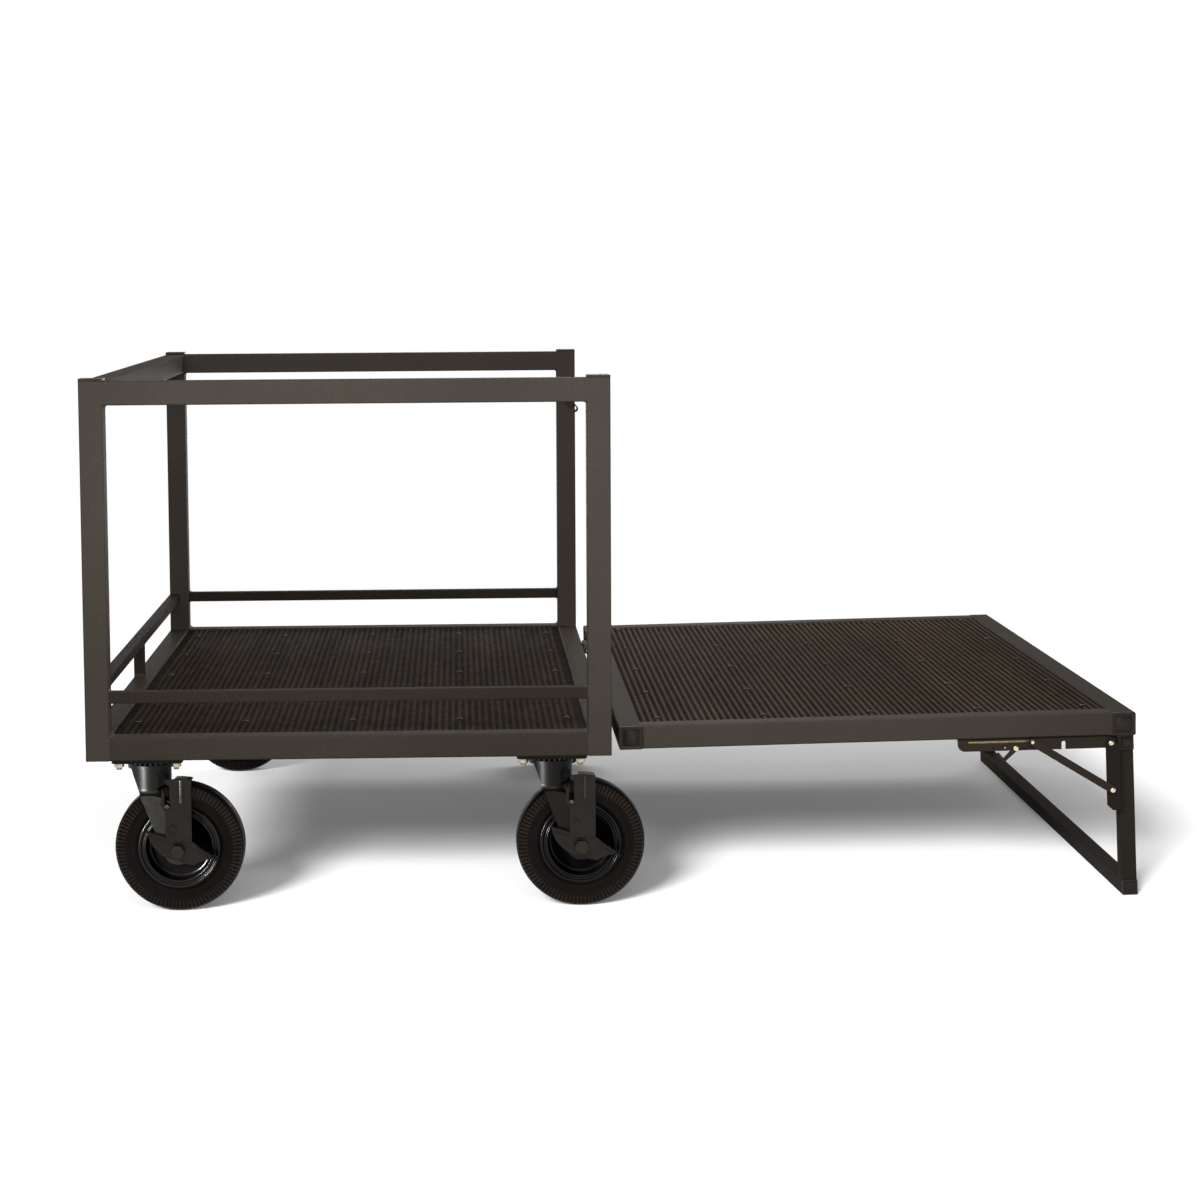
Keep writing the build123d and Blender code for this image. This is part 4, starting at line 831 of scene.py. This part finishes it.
def cage_welds():
    """The welds of the cage, ground flush on the outside and hollow in the corners."""
    bm = bmesh.new()
    low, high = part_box("corner_posts")
    middle = (low + high) / 2
    post, bite = FRAME_TUBE.size, FRAME_TUBE.corner
    half_x, half_y = (high.x - low.x) / 2 - post, (high.y - low.y) / 2 - post
    top_z, base_z = high.z - post / 2, low.z + post / 2
    guard_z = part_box("guard_rails")[1].z - GUARD_TUBE.size / 2
    levels = ((top_z, FRAME_TUBE, (-1,)), (base_z, FRAME_TUBE, (1,)), (guard_z, GUARD_TUBE, (-1, 1)))
    for z, tube, fillets in levels:
        for sign in SIDES.values():
            y = middle.y + sign * (half_y + post - tube.size / 2)
            rail_ends(bm, Vector((middle.x, y, z)), X, Z, Y, half_x, tube, bite, fillets)
        centre = Vector((low.x + tube.size / 2, middle.y, z))
        rail_ends(bm, centre, Y, Z, X, half_y, tube, bite, fillets)
    centre = Vector((high.x - post / 2, middle.y, base_z))
    rail_ends(bm, centre, Y, Z, X, half_y, FRAME_TUBE, bite, (1,))
    stub_half = (guard_z - GUARD_TUBE.size / 2 - low.z - post) / 2
    centre = Vector((low.x + GUARD_TUBE.size / 2, middle.y, low.z + post + stub_half))
    rail_ends(bm, centre, Z, Y, X, stub_half, GUARD_TUBE, GUARD_TUBE.corner, (-1, 1))
    return new_piece("cage_welds", bm)


def platform_welds():
    """The welds between the platform's cross rails and side rails."""
    bm = bmesh.new()
    low, high = box_in("platform_cross_rails", platform_place)
    middle, half = (low + high) / 2, (high.x - low.x) / 2
    bite = FRAME_TUBE.corner
    for y in (low.y + FRAME_TUBE.size / 2, high.y - FRAME_TUBE.size / 2):
        centre = platform_place @ Vector((middle.x, y, middle.z))
        rail_ends(bm, centre, platform_along, Y, -platform_up, half, FRAME_TUBE, bite, (-1, 1))
    return new_piece("platform_welds", bm)


def leg_welds():
    """The welds between the leg's uprights and its cross tubes."""
    bm = bmesh.new()
    low, high = box_in("leg_uprights", leg_place)
    middle, half = (low + high) / 2, (high.z - low.z) / 2
    bite = LEG_TUBE.corner
    for y, inner in ((low.y + LEG_TUBE.size / 2, 1), (high.y - LEG_TUBE.size / 2, -1)):
        centre = leg_place @ Vector((middle.x, y, middle.z))
        rail_ends(bm, centre, leg_up, Y, leg_along, half, LEG_TUBE, bite, (inner,))
    return new_piece("leg_welds", bm)


dress(cage_welds(), "cart", frame_paint, "frame_paint")
dress(platform_welds(), "platform", frame_paint, "frame_paint")
dress(leg_welds(), "leg", shaded_leg_paint, "frame_paint")


def groove_cutter(node, axis, border):
    """Thin square rings that reach a little way into the face of each tube plug of a node."""
    bm = bmesh.new()
    middle = (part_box(node)[0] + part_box(node)[1]) / 2
    for low, high in islands(node):
        centre, size = (low + high) / 2, high - low
        facing = -axis if axis == Y and centre.y < middle.y else axis
        top = centre + facing * size.dot(axis) / 2
        side = size.dot(X) - 2 * border
        place = placing(top - facing * GROOVE_DEPTH, X, facing)
        outer = rounded_square(side, GROOVE_CORNER)
        inner = rounded_square(side - 2 * GROOVE_WIDTH, GROOVE_CORNER)
        rings = []
        for outline, rise in ((outer, 0), (outer, GROOVE_RISE), (inner, GROOVE_RISE), (inner, 0)):
            rings.append([bm.verts.new(place @ Vector((x, y, rise))) for x, y in outline])
        for ring, beyond in zip(rings, rings[1:] + rings[:1]):
            band(bm, ring, beyond)
    bmesh.ops.recalc_face_normals(bm, faces=bm.faces)
    return new_piece(f"{node}_groove", bm)


def moulded_caps(node, axis, round_over, border):
    """Tube plugs with a rounded rim and a square border grooved into the face that shows."""
    caps = rounded_copy(f"{node}_moulded", round_over, node)
    return carved(caps, groove_cutter(node, axis, border))


# Tube plugs: node, body, the axis that their faces look along, rounding of the rim, width of the border
PLUGS = (
    ("post_caps", "cart", Z, 0.0012, 0.005),
    ("platform_end_caps", "platform", Y, 0.002, 0.006),
    ("leg_end_caps", "leg", Y, 0.0016, 0.0045),
)
for node, body, axis, round_over, border in PLUGS:
    dress(moulded_caps(node, axis, round_over, border), body, plug_plastic, "plug_plastic", node)


# Ribbed decks and their screws


def ribbed_deck(node, place, finish):
    """A deck's mat in the place and size of its CAD node."""
    low, high = box_in(node, place)
    length, depth = high.x - low.x, high.y - low.y
    ribs = math.floor(length / 2 / RIB_PITCH - 0.5)
    mat = new_piece(f"{node}_mat", bmesh.new())
    grown(
        mat,
        mat_tree,
        length=length,
        depth=depth,
        sheet_thickness=high.z - low.z - RIB_HEIGHT,
        rib_height=RIB_HEIGHT,
        rib_pitch=RIB_PITCH,
        ribbed_reach=(ribs + 0.5) * RIB_PITCH,
        columns=round(length / RIB_PITCH * RIB_STEPS) + 1,
        finish=finish,
    )
    foot = Vector(((low.x + high.x) / 2, (low.y + high.y) / 2, low.z))
    mat.data.transform(place @ Matrix.Translation(foot))
    mat.data.shade_smooth()
    mat.data.set_sharp_from_angle(angle=RIB_SHARP_ANGLE)
    return mat


def fastened(name, places, fastener, finish, spin=0.0):
    """Copies a fastener to places, each a point and the way it faces, and removes the original."""
    mesh = bpy.data.meshes.new(name)
    mesh.from_pydata([point for point, facing in places], [], [])
    facings = mesh.attributes.new("facing", "FLOAT_VECTOR", "POINT")
    for mark, (point, facing) in zip(facings.data, places):
        mark.vector = facing
    piece = bpy.data.objects.new(name, mesh)
    bpy.context.scene.collection.objects.link(piece)
    grown(piece, fastener_tree, fastener=fastener, spin=spin, seed=FASTENER_SEED, finish=finish)
    bpy.data.objects.remove(fastener)
    return piece


def cross_head_screw(shank):
    """A pan head screw with a cross recess."""
    radius, height = SCREW_HEAD_RADIUS, SCREW_HEAD_HEIGHT
    outline = [(0.0, height, 0), (SCREW_FLAT, height, SCREW_FLAT_ROUND)]
    outline += [(radius, SCREW_SHOULDER, SCREW_SHOULDER_ROUND), (radius, 0.0, 0)]
    outline += [(SCREW_RADIUS, 0.0, 0), (SCREW_RADIUS, -shank, 0), (0.0, -shank, 0)]
    bm = bmesh.new()
    lathe(bm, rounded(outline, SMALL_ARC_STEPS), Vector(), Z, SCREW_STEPS)
    screw = new_piece("pan_head_screw", bm)
    recess_floor = Matrix.Translation(Z * (height - SCREW_RECESS))
    long, wide = SCREW_RECESS_LENGTH, SCREW_RECESS_WIDTH
    for length, width in ((long, wide), (wide, long)):
        bar = bmesh.new()
        prism(bar, rounded_oblong(length, width, 0), recess_floor, height)
        carved(screw, new_piece("screw_recess", bar))
    return screw


def deck_screws(node, place, body):
    """The pan head screws of a deck, in the places of their CAD node."""
    solids = islands(node, place)
    shank = solids[0][1].z - solids[0][0].z - SCREW_HEAD_HEIGHT
    up = place.to_3x3() @ Z
    places = []
    for low, high in solids:
        seat = Vector(((low.x + high.x) / 2, (low.y + high.y) / 2, high.z - SCREW_HEAD_HEIGHT))
        places.append((place @ seat, up))
    piece = fastened(f"{node}_cross_head", places, cross_head_screw(shank), oxide_steel, math.pi / 2)
    dress(piece, body, oxide_steel, "screw_black", node)


for body, place, rubber in (("cart", LEVEL, shaded_cart_rubber), ("platform", platform_place, lit_platform_rubber)):
    dress(ribbed_deck(f"{body}_deck", place, rubber), body, rubber, "deck_mat", f"{body}_deck")
for body, place in (("cart", LEVEL), ("platform", platform_place)):
    deck_screws(f"{body}_deck_screws", place, body)


# Hinges, catch and studs

for node, body in (("cart_knuckles", "cart"), ("platform_knuckles", "platform"), ("catch_hook", "catch")):
    finished_copy(node, "painted", HARDWARE_EDGE, body, hardware_paint, "hardware_black")
for node in ("hinge_pins", "catch_pivot"):
    finished_copy(node, "plated", HARDWARE_EDGE, "cart", yellow_zinc, "zinc")


def turned_studs():
    """The platform's two studs, each longer than wide, with a collar, a waist and a round end."""
    bm = bmesh.new()
    for low, high in islands("platform_studs", platform_place):
        middle, size = (low + high) / 2, high - low
        axis, length = (X, size.x) if size.x > size.y else (Y, size.y)
        radius = size.z / 2
        seat = middle - axis * length / 2
        outline = [(0.0, 0.0, 0), (radius, 0.0, 0)]
        outline += [(radius * out, length * along, corner) for out, along, corner in STUD_CORNERS]
        outline += [(radius * STUD_TIP, length, radius * STUD_TIP_ROUND), (0.0, length, 0)]
        turned = platform_place.to_3x3() @ axis
        lathe(bm, rounded(outline), platform_place @ seat, turned, STUD_STEPS)
    return new_piece("platform_studs_turned", bm)


dress(turned_studs(), "platform", stud_bronze, "stud_brass", "platform_studs")


# Locking brackets of the leg

finished_copy("leg_brackets", "pressed", BRACKET_EDGE, "platform", hardware_paint, "hardware_black")
finished_copy("leg_arms", "pressed", BRACKET_EDGE, "leg", shaded_arm_paint, "hardware_black")
for side in SIDES:
    for node, body in ((f"link_{side}", f"link_{side}"), (f"latch_lever_{side}", f"latch_{side}")):
        finished_copy(node, "pressed", BRACKET_EDGE, body, hardware_paint, "hardware_black")
    finished_copy(f"slide_pin_{side}", "plated", SLIDE_PIN_EDGE, f"slider_{side}", yellow_zinc, "zinc")


def dome(radius, top, shoulder):
    """The outline of a low dome, from its middle out to its shoulder."""
    flat = (radius * DOME_FLAT, top, radius * DOME_FLAT_ROUND)
    return [(0.0, top, 0), flat, (radius, shoulder, radius * DOME_SHOULDER_ROUND)]


def domed_rivet(head, shank):
    """A rivet with a low domed head, a shank through the plates behind it, and a flat tail."""
    tail = shank + head * RIVET_TAIL
    outline = dome(RIVET_HEAD_RADIUS, head, head * RIVET_SHOULDER) + [(RIVET_HEAD_RADIUS, 0.0, 0)]
    outline += [(RIVET_SHANK_RADIUS, 0.0, 0), (RIVET_SHANK_RADIUS, -shank, 0)]
    outline += [(RIVET_TAIL_RADIUS, -shank, 0), (RIVET_TAIL_RADIUS, -tail, RIVET_TAIL_ROUND)]
    outline += [(0.0, -tail, 0)]
    bm = bmesh.new()
    lathe(bm, rounded(outline), Vector(), Z, RIVET_STEPS)
    return new_piece("domed_rivet", bm)


def rivet_set(name, node, body):
    """The rivets of a CAD node as domed heads on the outer side of each bracket."""
    tips_by_depth = {}
    for low, high in islands(node):
        middle = (low + high) / 2
        sign = -1 if middle.y < 0 else 1
        outer = low.y if sign < 0 else high.y
        depth = round(high.y - low.y, 4)
        tips_by_depth.setdefault(depth, []).append((Vector((middle.x, outer, middle.z)), Y * sign))
    for number, (depth, tips) in enumerate(tips_by_depth.items()):
        head = RIVET_HEAD if depth > LATCH_RIVET_LONGEST else LATCH_RIVET_HEAD
        rivet = domed_rivet(head, depth - head * (1 + RIVET_TAIL))
        places = [(tip - facing * head, facing) for tip, facing in tips]
        piece = fastened(f"{name}_{number}", places, rivet, rivet_brass)
        dress(piece, body, rivet_brass, "rivet_steel", *([node] if number == 0 else []))


def link_dome(side):
    """The pale dome on a link's end, where the sliding pin passes through it."""
    sign = SIDES[side]
    low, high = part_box(f"link_{side}")
    pin_low, pin_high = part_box(f"slide_pin_{side}")
    middle = (pin_low + pin_high) / 2
    top = Vector((middle.x, low.y if sign < 0 else high.y, middle.z))
    radius, foot = RIVET_HEAD_RADIUS + LINK_DOME_SKIN, LINK_DOME_SKIN - RIVET_HEAD
    outline = dome(radius, LINK_DOME_LIFT, LINK_DOME_SHOULDER) + [(radius, foot, 0), (0.0, foot, 0)]
    bm = bmesh.new()
    lathe(bm, rounded(outline), top, Y * sign, RIVET_STEPS)
    return new_piece(f"link_dome_{side}", bm)


def lock_strips():
    """The brass strips on the lips behind the brackets' slots."""
    bm = bmesh.new()
    travel = Vector(joints["pin_slide_front"]["axis"]) * joints["pin_slide_front"]["range_m"][1]
    outline = rounded_oblong(travel.length + LOCK_STRIP_SPARE, LOCK_STRIP_WIDTH, LOCK_STRIP_CORNER)
    for side, sign in SIDES.items():
        low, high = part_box(f"slide_pin_{side}")
        start = (low + high) / 2
        inner = (high.y if sign < 0 else low.y) - sign * LOCK_STRIP_GAP
        middle = Vector((start.x, inner, start.z)) + travel * LOCK_STRIP_MIDDLE
        prism(bm, outline, placing(middle, platform_along, -Y * sign), LOCK_STRIP_THICK)
    return new_piece("lock_strips", bm)


rivet_set("bracket_rivets_domed", "bracket_rivets", "platform")
rivet_set("crank_rivets_domed", "crank_rivets", "leg")
for side in SIDES:
    dress(link_dome(side), f"link_{side}", rivet_brass, "rivet_steel")
dress(lock_strips(), "platform", lock_brass, "rivet_steel")


# Caster plates with their ball races and bolts


def caster_plates():
    """The top plates, each with a grooved ball race, a kingpin and its nut."""
    bm = bmesh.new()
    outline = rounded_oblong(PLATE_LENGTH, PLATE_WIDTH, PLATE_CORNER, PLATE_CORNER_STEPS)
    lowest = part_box("caster_plates")[0].z
    for name in CORNERS:
        under = pivot(f"swivel_{name}") - Z * PLATE_THICK
        prism(bm, outline, Matrix.Translation(under), PLATE_THICK)
        lathe(bm, rounded(RACE_CORNERS, SMALL_ARC_STEPS), under, Z, RACE_STEPS)
        end = lowest - under.z
        nut = end + KINGPIN_NUT
        pin = [(0.0, 0.0, 0), (KINGPIN_RADIUS, 0.0, 0), (KINGPIN_RADIUS, nut, 0)]
        pin += [(KINGPIN_NUT_RADIUS, nut, KINGPIN_NUT_ROUND), (KINGPIN_NUT_RADIUS, end, KINGPIN_END_ROUND)]
        pin += [(0.0, end, 0)]
        lathe(bm, rounded(pin, SMALL_ARC_STEPS), under, Z, KINGPIN_STEPS)
    return rounded_edges(new_piece("caster_plates_raced", bm), PLATE_EDGE)


def race_balls():
    """The balls that show in the groove of each race."""
    bm = bmesh.new()
    bmesh.ops.create_uvsphere(bm, u_segments=12, v_segments=8, radius=BALL_RADIUS)
    ball = new_piece("race_ball", bm, ALL_SMOOTH)
    places = []
    for name in CORNERS:
        centre = pivot(f"swivel_{name}") - Z * (PLATE_THICK + BALL_DROP)
        for n in range(BALL_COUNT):
            angle = 2 * math.pi * n / BALL_COUNT
            places.append((centre + BALL_CIRCLE * Vector((math.cos(angle), math.sin(angle), 0)), Z))
    return fastened("race_balls", places, ball, greased_steel)


def hexagon_block(name, height, edge):
    """A hexagon as wide as a caster bolt's nut, with rounded edges."""
    reach = NUT_WIDTH / 2 / math.cos(math.pi / 6)
    outline = [(reach * math.cos(math.pi / 3 * n), reach * math.sin(math.pi / 3 * n)) for n in range(6)]
    bm = bmesh.new()
    prism(bm, outline, LEVEL, height)
    return rounded_edges(new_piece(name, bm), edge)


def caster_nut():
    """A hexagon nut on the end of its bolt, with the thread standing out below."""
    nut = hexagon_block("caster_nut", NUT_HEIGHT, NUT_EDGE)
    bm = bmesh.new()
    bm.from_mesh(nut.data)
    bpy.data.objects.remove(nut)
    thread = [(0.0, NUT_HEIGHT)]
    for n in range(round(BOLT_END / THREAD_PITCH)):
        start = NUT_HEIGHT + n * THREAD_PITCH
        thread += [(BOLT_RADIUS - THREAD_DEPTH, start), (BOLT_RADIUS, start + THREAD_PITCH / 2)]
    thread += [(BOLT_RADIUS - 2 * THREAD_DEPTH, NUT_HEIGHT + BOLT_END), (0.0, NUT_HEIGHT + BOLT_END)]
    lathe(bm, thread, Vector(), Z, SCREW_STEPS)
    return new_piece("caster_nut_on_bolt", bm)


def caster_bolts():
    """Nuts under the caster plates and bolt heads above the pads."""
    nuts, heads = [], []
    for low, high in islands("caster_bolts"):
        x, y = (low.x + high.x) / 2, (low.y + high.y) / 2
        nuts.append((Vector((x, y, low.z + BOLT_END + NUT_HEIGHT)), -Z))
        heads.append((Vector((x, y, high.z - BOLT_HEAD)), Z))
    head = hexagon_block("caster_bolt_head", BOLT_HEAD, BOLT_HEAD_EDGE)
    under = fastened("caster_nuts_plated", nuts, caster_nut(), yellow_zinc, math.pi / 3)
    above = fastened("caster_bolt_heads_plated", heads, head, yellow_zinc, math.pi / 3)
    dress(under, "cart", yellow_zinc, "zinc", "caster_bolts")
    dress(above, "cart", yellow_zinc, "zinc")


dress(caster_plates(), "cart", caster_enamel, "caster_black", "caster_plates")
dress(race_balls(), "cart", greased_steel, "zinc")
caster_bolts()


# Wheels, forks, axles and brakes


def wheel_rim(name):
    """A dished rim: hub, web, deep barrel, and a flange with a groove and a round bead."""
    bm = bmesh.new()
    lathe(bm, mirrored(RIM_CORNERS), pivot(f"wheel_{name}"), Y, WHEEL_STEPS)
    return new_piece(f"rim_{name}_dished", bm, RIM_SHARP_ANGLE)


def shaded_dish(rim, name):
    """Gives the inside of a rim's dish a darker, duller paint, as painted shade in its recess."""
    rim.data.materials.append(shaded_dish_enamel)
    axle = pivot(f"wheel_{name}")
    for face in rim.data.polygons:
        out = face.center - axle
        if math.hypot(out.x, out.z) < DISH_RADIUS:
            face.material_index = 1


def lug_face(half, inner, inner_stand, outer, outer_stand, sign):
    """The corners of a lug's foot or crest, on one shoulder of a tyre at the top of the wheel."""
    near, far = (sign * inner_stand, inner), (sign * outer_stand, outer)
    return [(-half, *near), (half, *near), (half, *far), (-half, *far)]


def shoulder_lug():
    """A pair of lugs, one on each shoulder of the tyre, at the top of the wheel."""
    bm = bmesh.new()
    for sign in (-1, 1):
        block(bm, lug_face(*LUG_FOOT, sign), lug_face(*LUG_CREST, sign))
    return new_piece("shoulder_lug", bm)


def lugged_tyre(name, lug):
    """A tyre: bead, full sidewall with a ring line, stepped shoulder with lugs, and round tread."""
    bm = bmesh.new()
    lathe(bm, mirrored(TYRE_CORNERS), Vector(), Y, WHEEL_STEPS)
    tyre = new_piece(f"tyre_{name}_lugged", bm)
    grown(tyre, lug_tree, count=LUG_COUNT, lug=lug, finish=wheel_rubber)
    tyre.data.transform(Matrix.Translation(pivot(f"wheel_{name}")))
    return tyre


def strap_bead(name):
    """The round-backed bead pressed out of a brake strap's face, running up to its crest."""
    low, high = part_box(f"brake_strap_{name}")
    middle = Vector((pivot(f"wheel_{name}").x + BEAD_FROM_AXLE, low.y + CAM_HEAD, high.z))
    middle.z -= BEAD_RADIUS + BEAD_LENGTH / 2
    place = placing(middle, Z, -Y)
    bm = bmesh.new()
    rings = []
    for step in range(-1, BEAD_STEPS):
        angle = math.pi / 2 * step / BEAD_STEPS
        radius = BEAD_RADIUS * math.cos(angle)
        outline = rounded_oblong(BEAD_LENGTH + 2 * radius, 2 * radius, radius * ROUND_END, BEAD_STEPS)
        rise = BEAD_STAND * math.sin(angle)
        rings.append([bm.verts.new(place @ Vector((x, y, rise))) for x, y in outline])
    for ring, beyond in zip(rings, rings[1:]):
        band(bm, ring, beyond)
    bm.faces.new(rings[0])
    bm.faces.new(rings[-1])
    bmesh.ops.recalc_face_normals(bm, faces=bm.faces)
    return new_piece(f"strap_bead_{name}", bm, BEAD_SHARP_ANGLE)


def guide_ball(name):
    """The polished skin of the ball that ends a brake strap's guide pin."""
    low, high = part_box(f"axle_{name}")
    forward = pivot(f"wheel_{name}").y - GUIDE_BALL_FORWARD
    centre = Vector((low.x + GUIDE_BALL_RADIUS, forward, high.z - GUIDE_BALL_RADIUS))
    radius = GUIDE_BALL_RADIUS + GUIDE_BALL_SKIN
    bm = bmesh.new()
    place = Matrix.Translation(centre)
    bmesh.ops.create_uvsphere(bm, u_segments=24, v_segments=14, radius=radius, matrix=place)
    return new_piece(f"guide_ball_{name}", bm, ALL_SMOOTH)


lug = shoulder_lug()
glossy_pieces = []
for name in CORNERS:
    swivel, wheel, strap, lever = f"swivel_{name}", f"wheel_{name}", f"strap_{name}", f"lever_{name}"
    rim = dress(wheel_rim(name), wheel, rim_enamel, "caster_black", f"rim_{name}")
    shaded_dish(rim, name)
    dress(lugged_tyre(name, lug), wheel, wheel_rubber, "tyre_rubber", f"tyre_{name}")
    fork = finished_copy(f"fork_{name}", "enamelled", FORK_EDGE, swivel, caster_enamel, "caster_black")
    finished_copy(f"axle_{name}", "blacked", AXLE_EDGE, swivel, oxide_steel, "caster_black")
    dress(guide_ball(name), swivel, greased_steel, "zinc")
    finished_copy(f"brake_strap_{name}", "pressed", BRAKE_EDGE, strap, brake_paint, "caster_black")
    bead = dress(strap_bead(name), strap, bead_enamel, "caster_black")
    finished_copy(f"brake_lever_{name}", "pressed", BRAKE_EDGE, lever, brake_paint, "caster_black")
    glossy_pieces += [rim, fork, bead]
bpy.data.objects.remove(lug)


# Studio: the camera and reflections see white, with the cart's shadow, and other rays a plain grey

SEEN_RAYS = ("Is Camera Ray", "Is Glossy Ray", "Is Transmission Ray")
FLOOR_REACH = 30
FLOOR_GREY = 0.88
STRAY_GREY = 0.12
SHADOW_LIFT = 0.13
WHITE_FROM = 1.5
WHITE_BEYOND = 3.0
CEILING_FADE = (0.1, 0.3)
CEILING_GREY = 0.28

# The camera's place, turn and lens are fitted to edges seen in the photograph
CAMERA_PLACE = (-0.2581, -4.5092, 1.0437)
CAMERA_TURN = (85.298, 0.389, -1.485)
CAMERA_LENS = 73.713
CAMERA_SENSOR = 36
CAMERA_SHIFT = (0.0668, -0.1109)


def seen_ray(nodes, links):
    """One value that is 1 for a ray of any of the seen kinds."""
    light = nodes.new("ShaderNodeLightPath")
    found = light.outputs[SEEN_RAYS[0]]
    for ray in SEEN_RAYS[1:]:
        either = nodes.new("ShaderNodeMath")
        either.operation = "MAXIMUM"
        links.new(found, either.inputs[0])
        links.new(light.outputs[ray], either.inputs[1])
        found = either.outputs["Value"]
    return found


def matt(nodes, grey):
    """A matt grey surface."""
    surface = nodes.new("ShaderNodeBsdfDiffuse")
    surface.inputs["Color"].default_value = (grey, grey, grey, 1)
    return surface.outputs["BSDF"]


def mixed(nodes, links, share, first, second):
    """Two shaders mixed by the share of the second."""
    mix = nodes.new("ShaderNodeMixShader")
    for socket, value in zip(mix.inputs, (share, first, second)):
        links.new(value, socket)
    return mix.outputs["Shader"]


def studio_floor():
    """A pale floor that keeps the cart's shadow, lifted to a mid grey, and is plain white further out."""
    bm = bmesh.new()
    bmesh.ops.create_grid(bm, x_segments=1, y_segments=1, size=FLOOR_REACH)
    floor = new_piece("studio_floor", bm)
    material = bpy.data.materials.new("floor_white")
    material.use_nodes = True
    nodes, links = material.node_tree.nodes, material.node_tree.links
    nodes.clear()
    away = nodes.new("ShaderNodeVectorMath")
    away.operation = "LENGTH"
    links.new(nodes.new("ShaderNodeTexCoord").outputs["Object"], away.inputs[0])
    distance, fade = away.outputs["Value"], (WHITE_FROM, WHITE_BEYOND)
    whiteness = mapped(nodes, links, distance, fade, (SHADOW_LIFT, 1.0), "SMOOTHSTEP")
    white = nodes.new("ShaderNodeEmission").outputs["Emission"]
    pale = mixed(nodes, links, whiteness, matt(nodes, FLOOR_GREY), white)
    surface = mixed(nodes, links, seen_ray(nodes, links), matt(nodes, STRAY_GREY), pale)
    links.new(surface, nodes.new("ShaderNodeOutputMaterial").inputs["Surface"])
    floor.data.materials.append(material)
    return floor


def studio_world(level):
    """A white surround up to just over the horizon, a grey ceiling, and a softer level of fill light."""
    world = bpy.data.worlds.new("studio")
    bpy.context.scene.world = world
    world.use_nodes = True
    nodes, links = world.node_tree.nodes, world.node_tree.links
    nodes.clear()
    fill, white = nodes.new("ShaderNodeBackground"), nodes.new("ShaderNodeBackground")
    fill.inputs["Strength"].default_value = level
    for background in (fill, white):
        background.inputs["Color"].default_value = (1, 1, 1, 1)
    height = nodes.new("ShaderNodeSeparateXYZ")
    links.new(nodes.new("ShaderNodeTexCoord").outputs["Generated"], height.inputs[0])
    tone = mapped(nodes, links, height.outputs["Z"], CEILING_FADE, (1.0, CEILING_GREY), "SMOOTHSTEP")
    links.new(tone, white.inputs["Strength"])
    seen = seen_ray(nodes, links)
    surround = mixed(nodes, links, seen, fill.outputs["Background"], white.outputs["Background"])
    links.new(surround, nodes.new("ShaderNodeOutputWorld").inputs["Surface"])


def light_only(lamp, *pieces):
    """Keeps a lamp's light to the named pieces."""
    lit = bpy.data.collections.new(f"{lamp.name}_pieces")
    for piece in pieces:
        lit.objects.link(piece)
    lamp.light_linking.receiver_collection = lit


def softbox(name, place, target, width, height, power):
    """A broad soft lamp at a place, turned to a target."""
    lamp = bpy.data.lights.new(name, "AREA")
    lamp.shape = "RECTANGLE"
    lamp.size, lamp.size_y = width, height
    lamp.energy = power
    box = bpy.data.objects.new(name, lamp)
    box.location = place
    box.rotation_euler = (Vector(target) - Vector(place)).to_track_quat("-Z", "Y").to_euler()
    box.visible_camera = False
    bpy.context.scene.collection.objects.link(box)
    return box


def floor_sun(floor, elevation, bearing, strength, spread):
    """A soft distant lamp for the floor alone, so that the cart's shadow falls on white."""
    sun = bpy.data.lights.new("floor_light", "SUN")
    sun.energy = strength
    sun.angle = math.radians(spread)
    lamp = bpy.data.objects.new("floor_light", sun)
    lamp.rotation_euler = (math.radians(90 - elevation), 0, math.radians(bearing))
    bpy.context.scene.collection.objects.link(lamp)
    light_only(lamp, floor)


floor_sun(studio_floor(), elevation=27, bearing=-24, strength=6.4, spread=16)
studio_world(level=0.2)
softbox("front_light", place=(-0.2, -2.1, 1.35), target=(0, 0, 0.5), width=2.4, height=0.5, power=24)
strip = softbox(
    "low_strip", place=(-1.5, -1.75, 0.3), target=(-0.76, -0.5, 0.2), width=0.2, height=0.5, power=130
)
light_only(strip, *glossy_pieces)
softbox("back_light", place=(0.5, 1.6, 1.5), target=(0.4, 0.5, 0.28), width=1.8, height=0.5, power=14)
softbox("rear_light", place=(-0.3, 3.0, 0.5), target=(0, 0, 0.45), width=2.4, height=0.6, power=12)

camera = bpy.data.objects.new("camera", bpy.data.cameras.new("camera"))
camera.data.lens = CAMERA_LENS
camera.data.sensor_width = CAMERA_SENSOR
camera.data.shift_x, camera.data.shift_y = CAMERA_SHIFT
camera.location = CAMERA_PLACE
camera.rotation_euler = [math.radians(angle) for angle in CAMERA_TURN]
bpy.context.scene.collection.objects.link(camera)
bpy.context.scene.camera = camera
bpy.context.scene.view_settings.view_transform = "Standard"
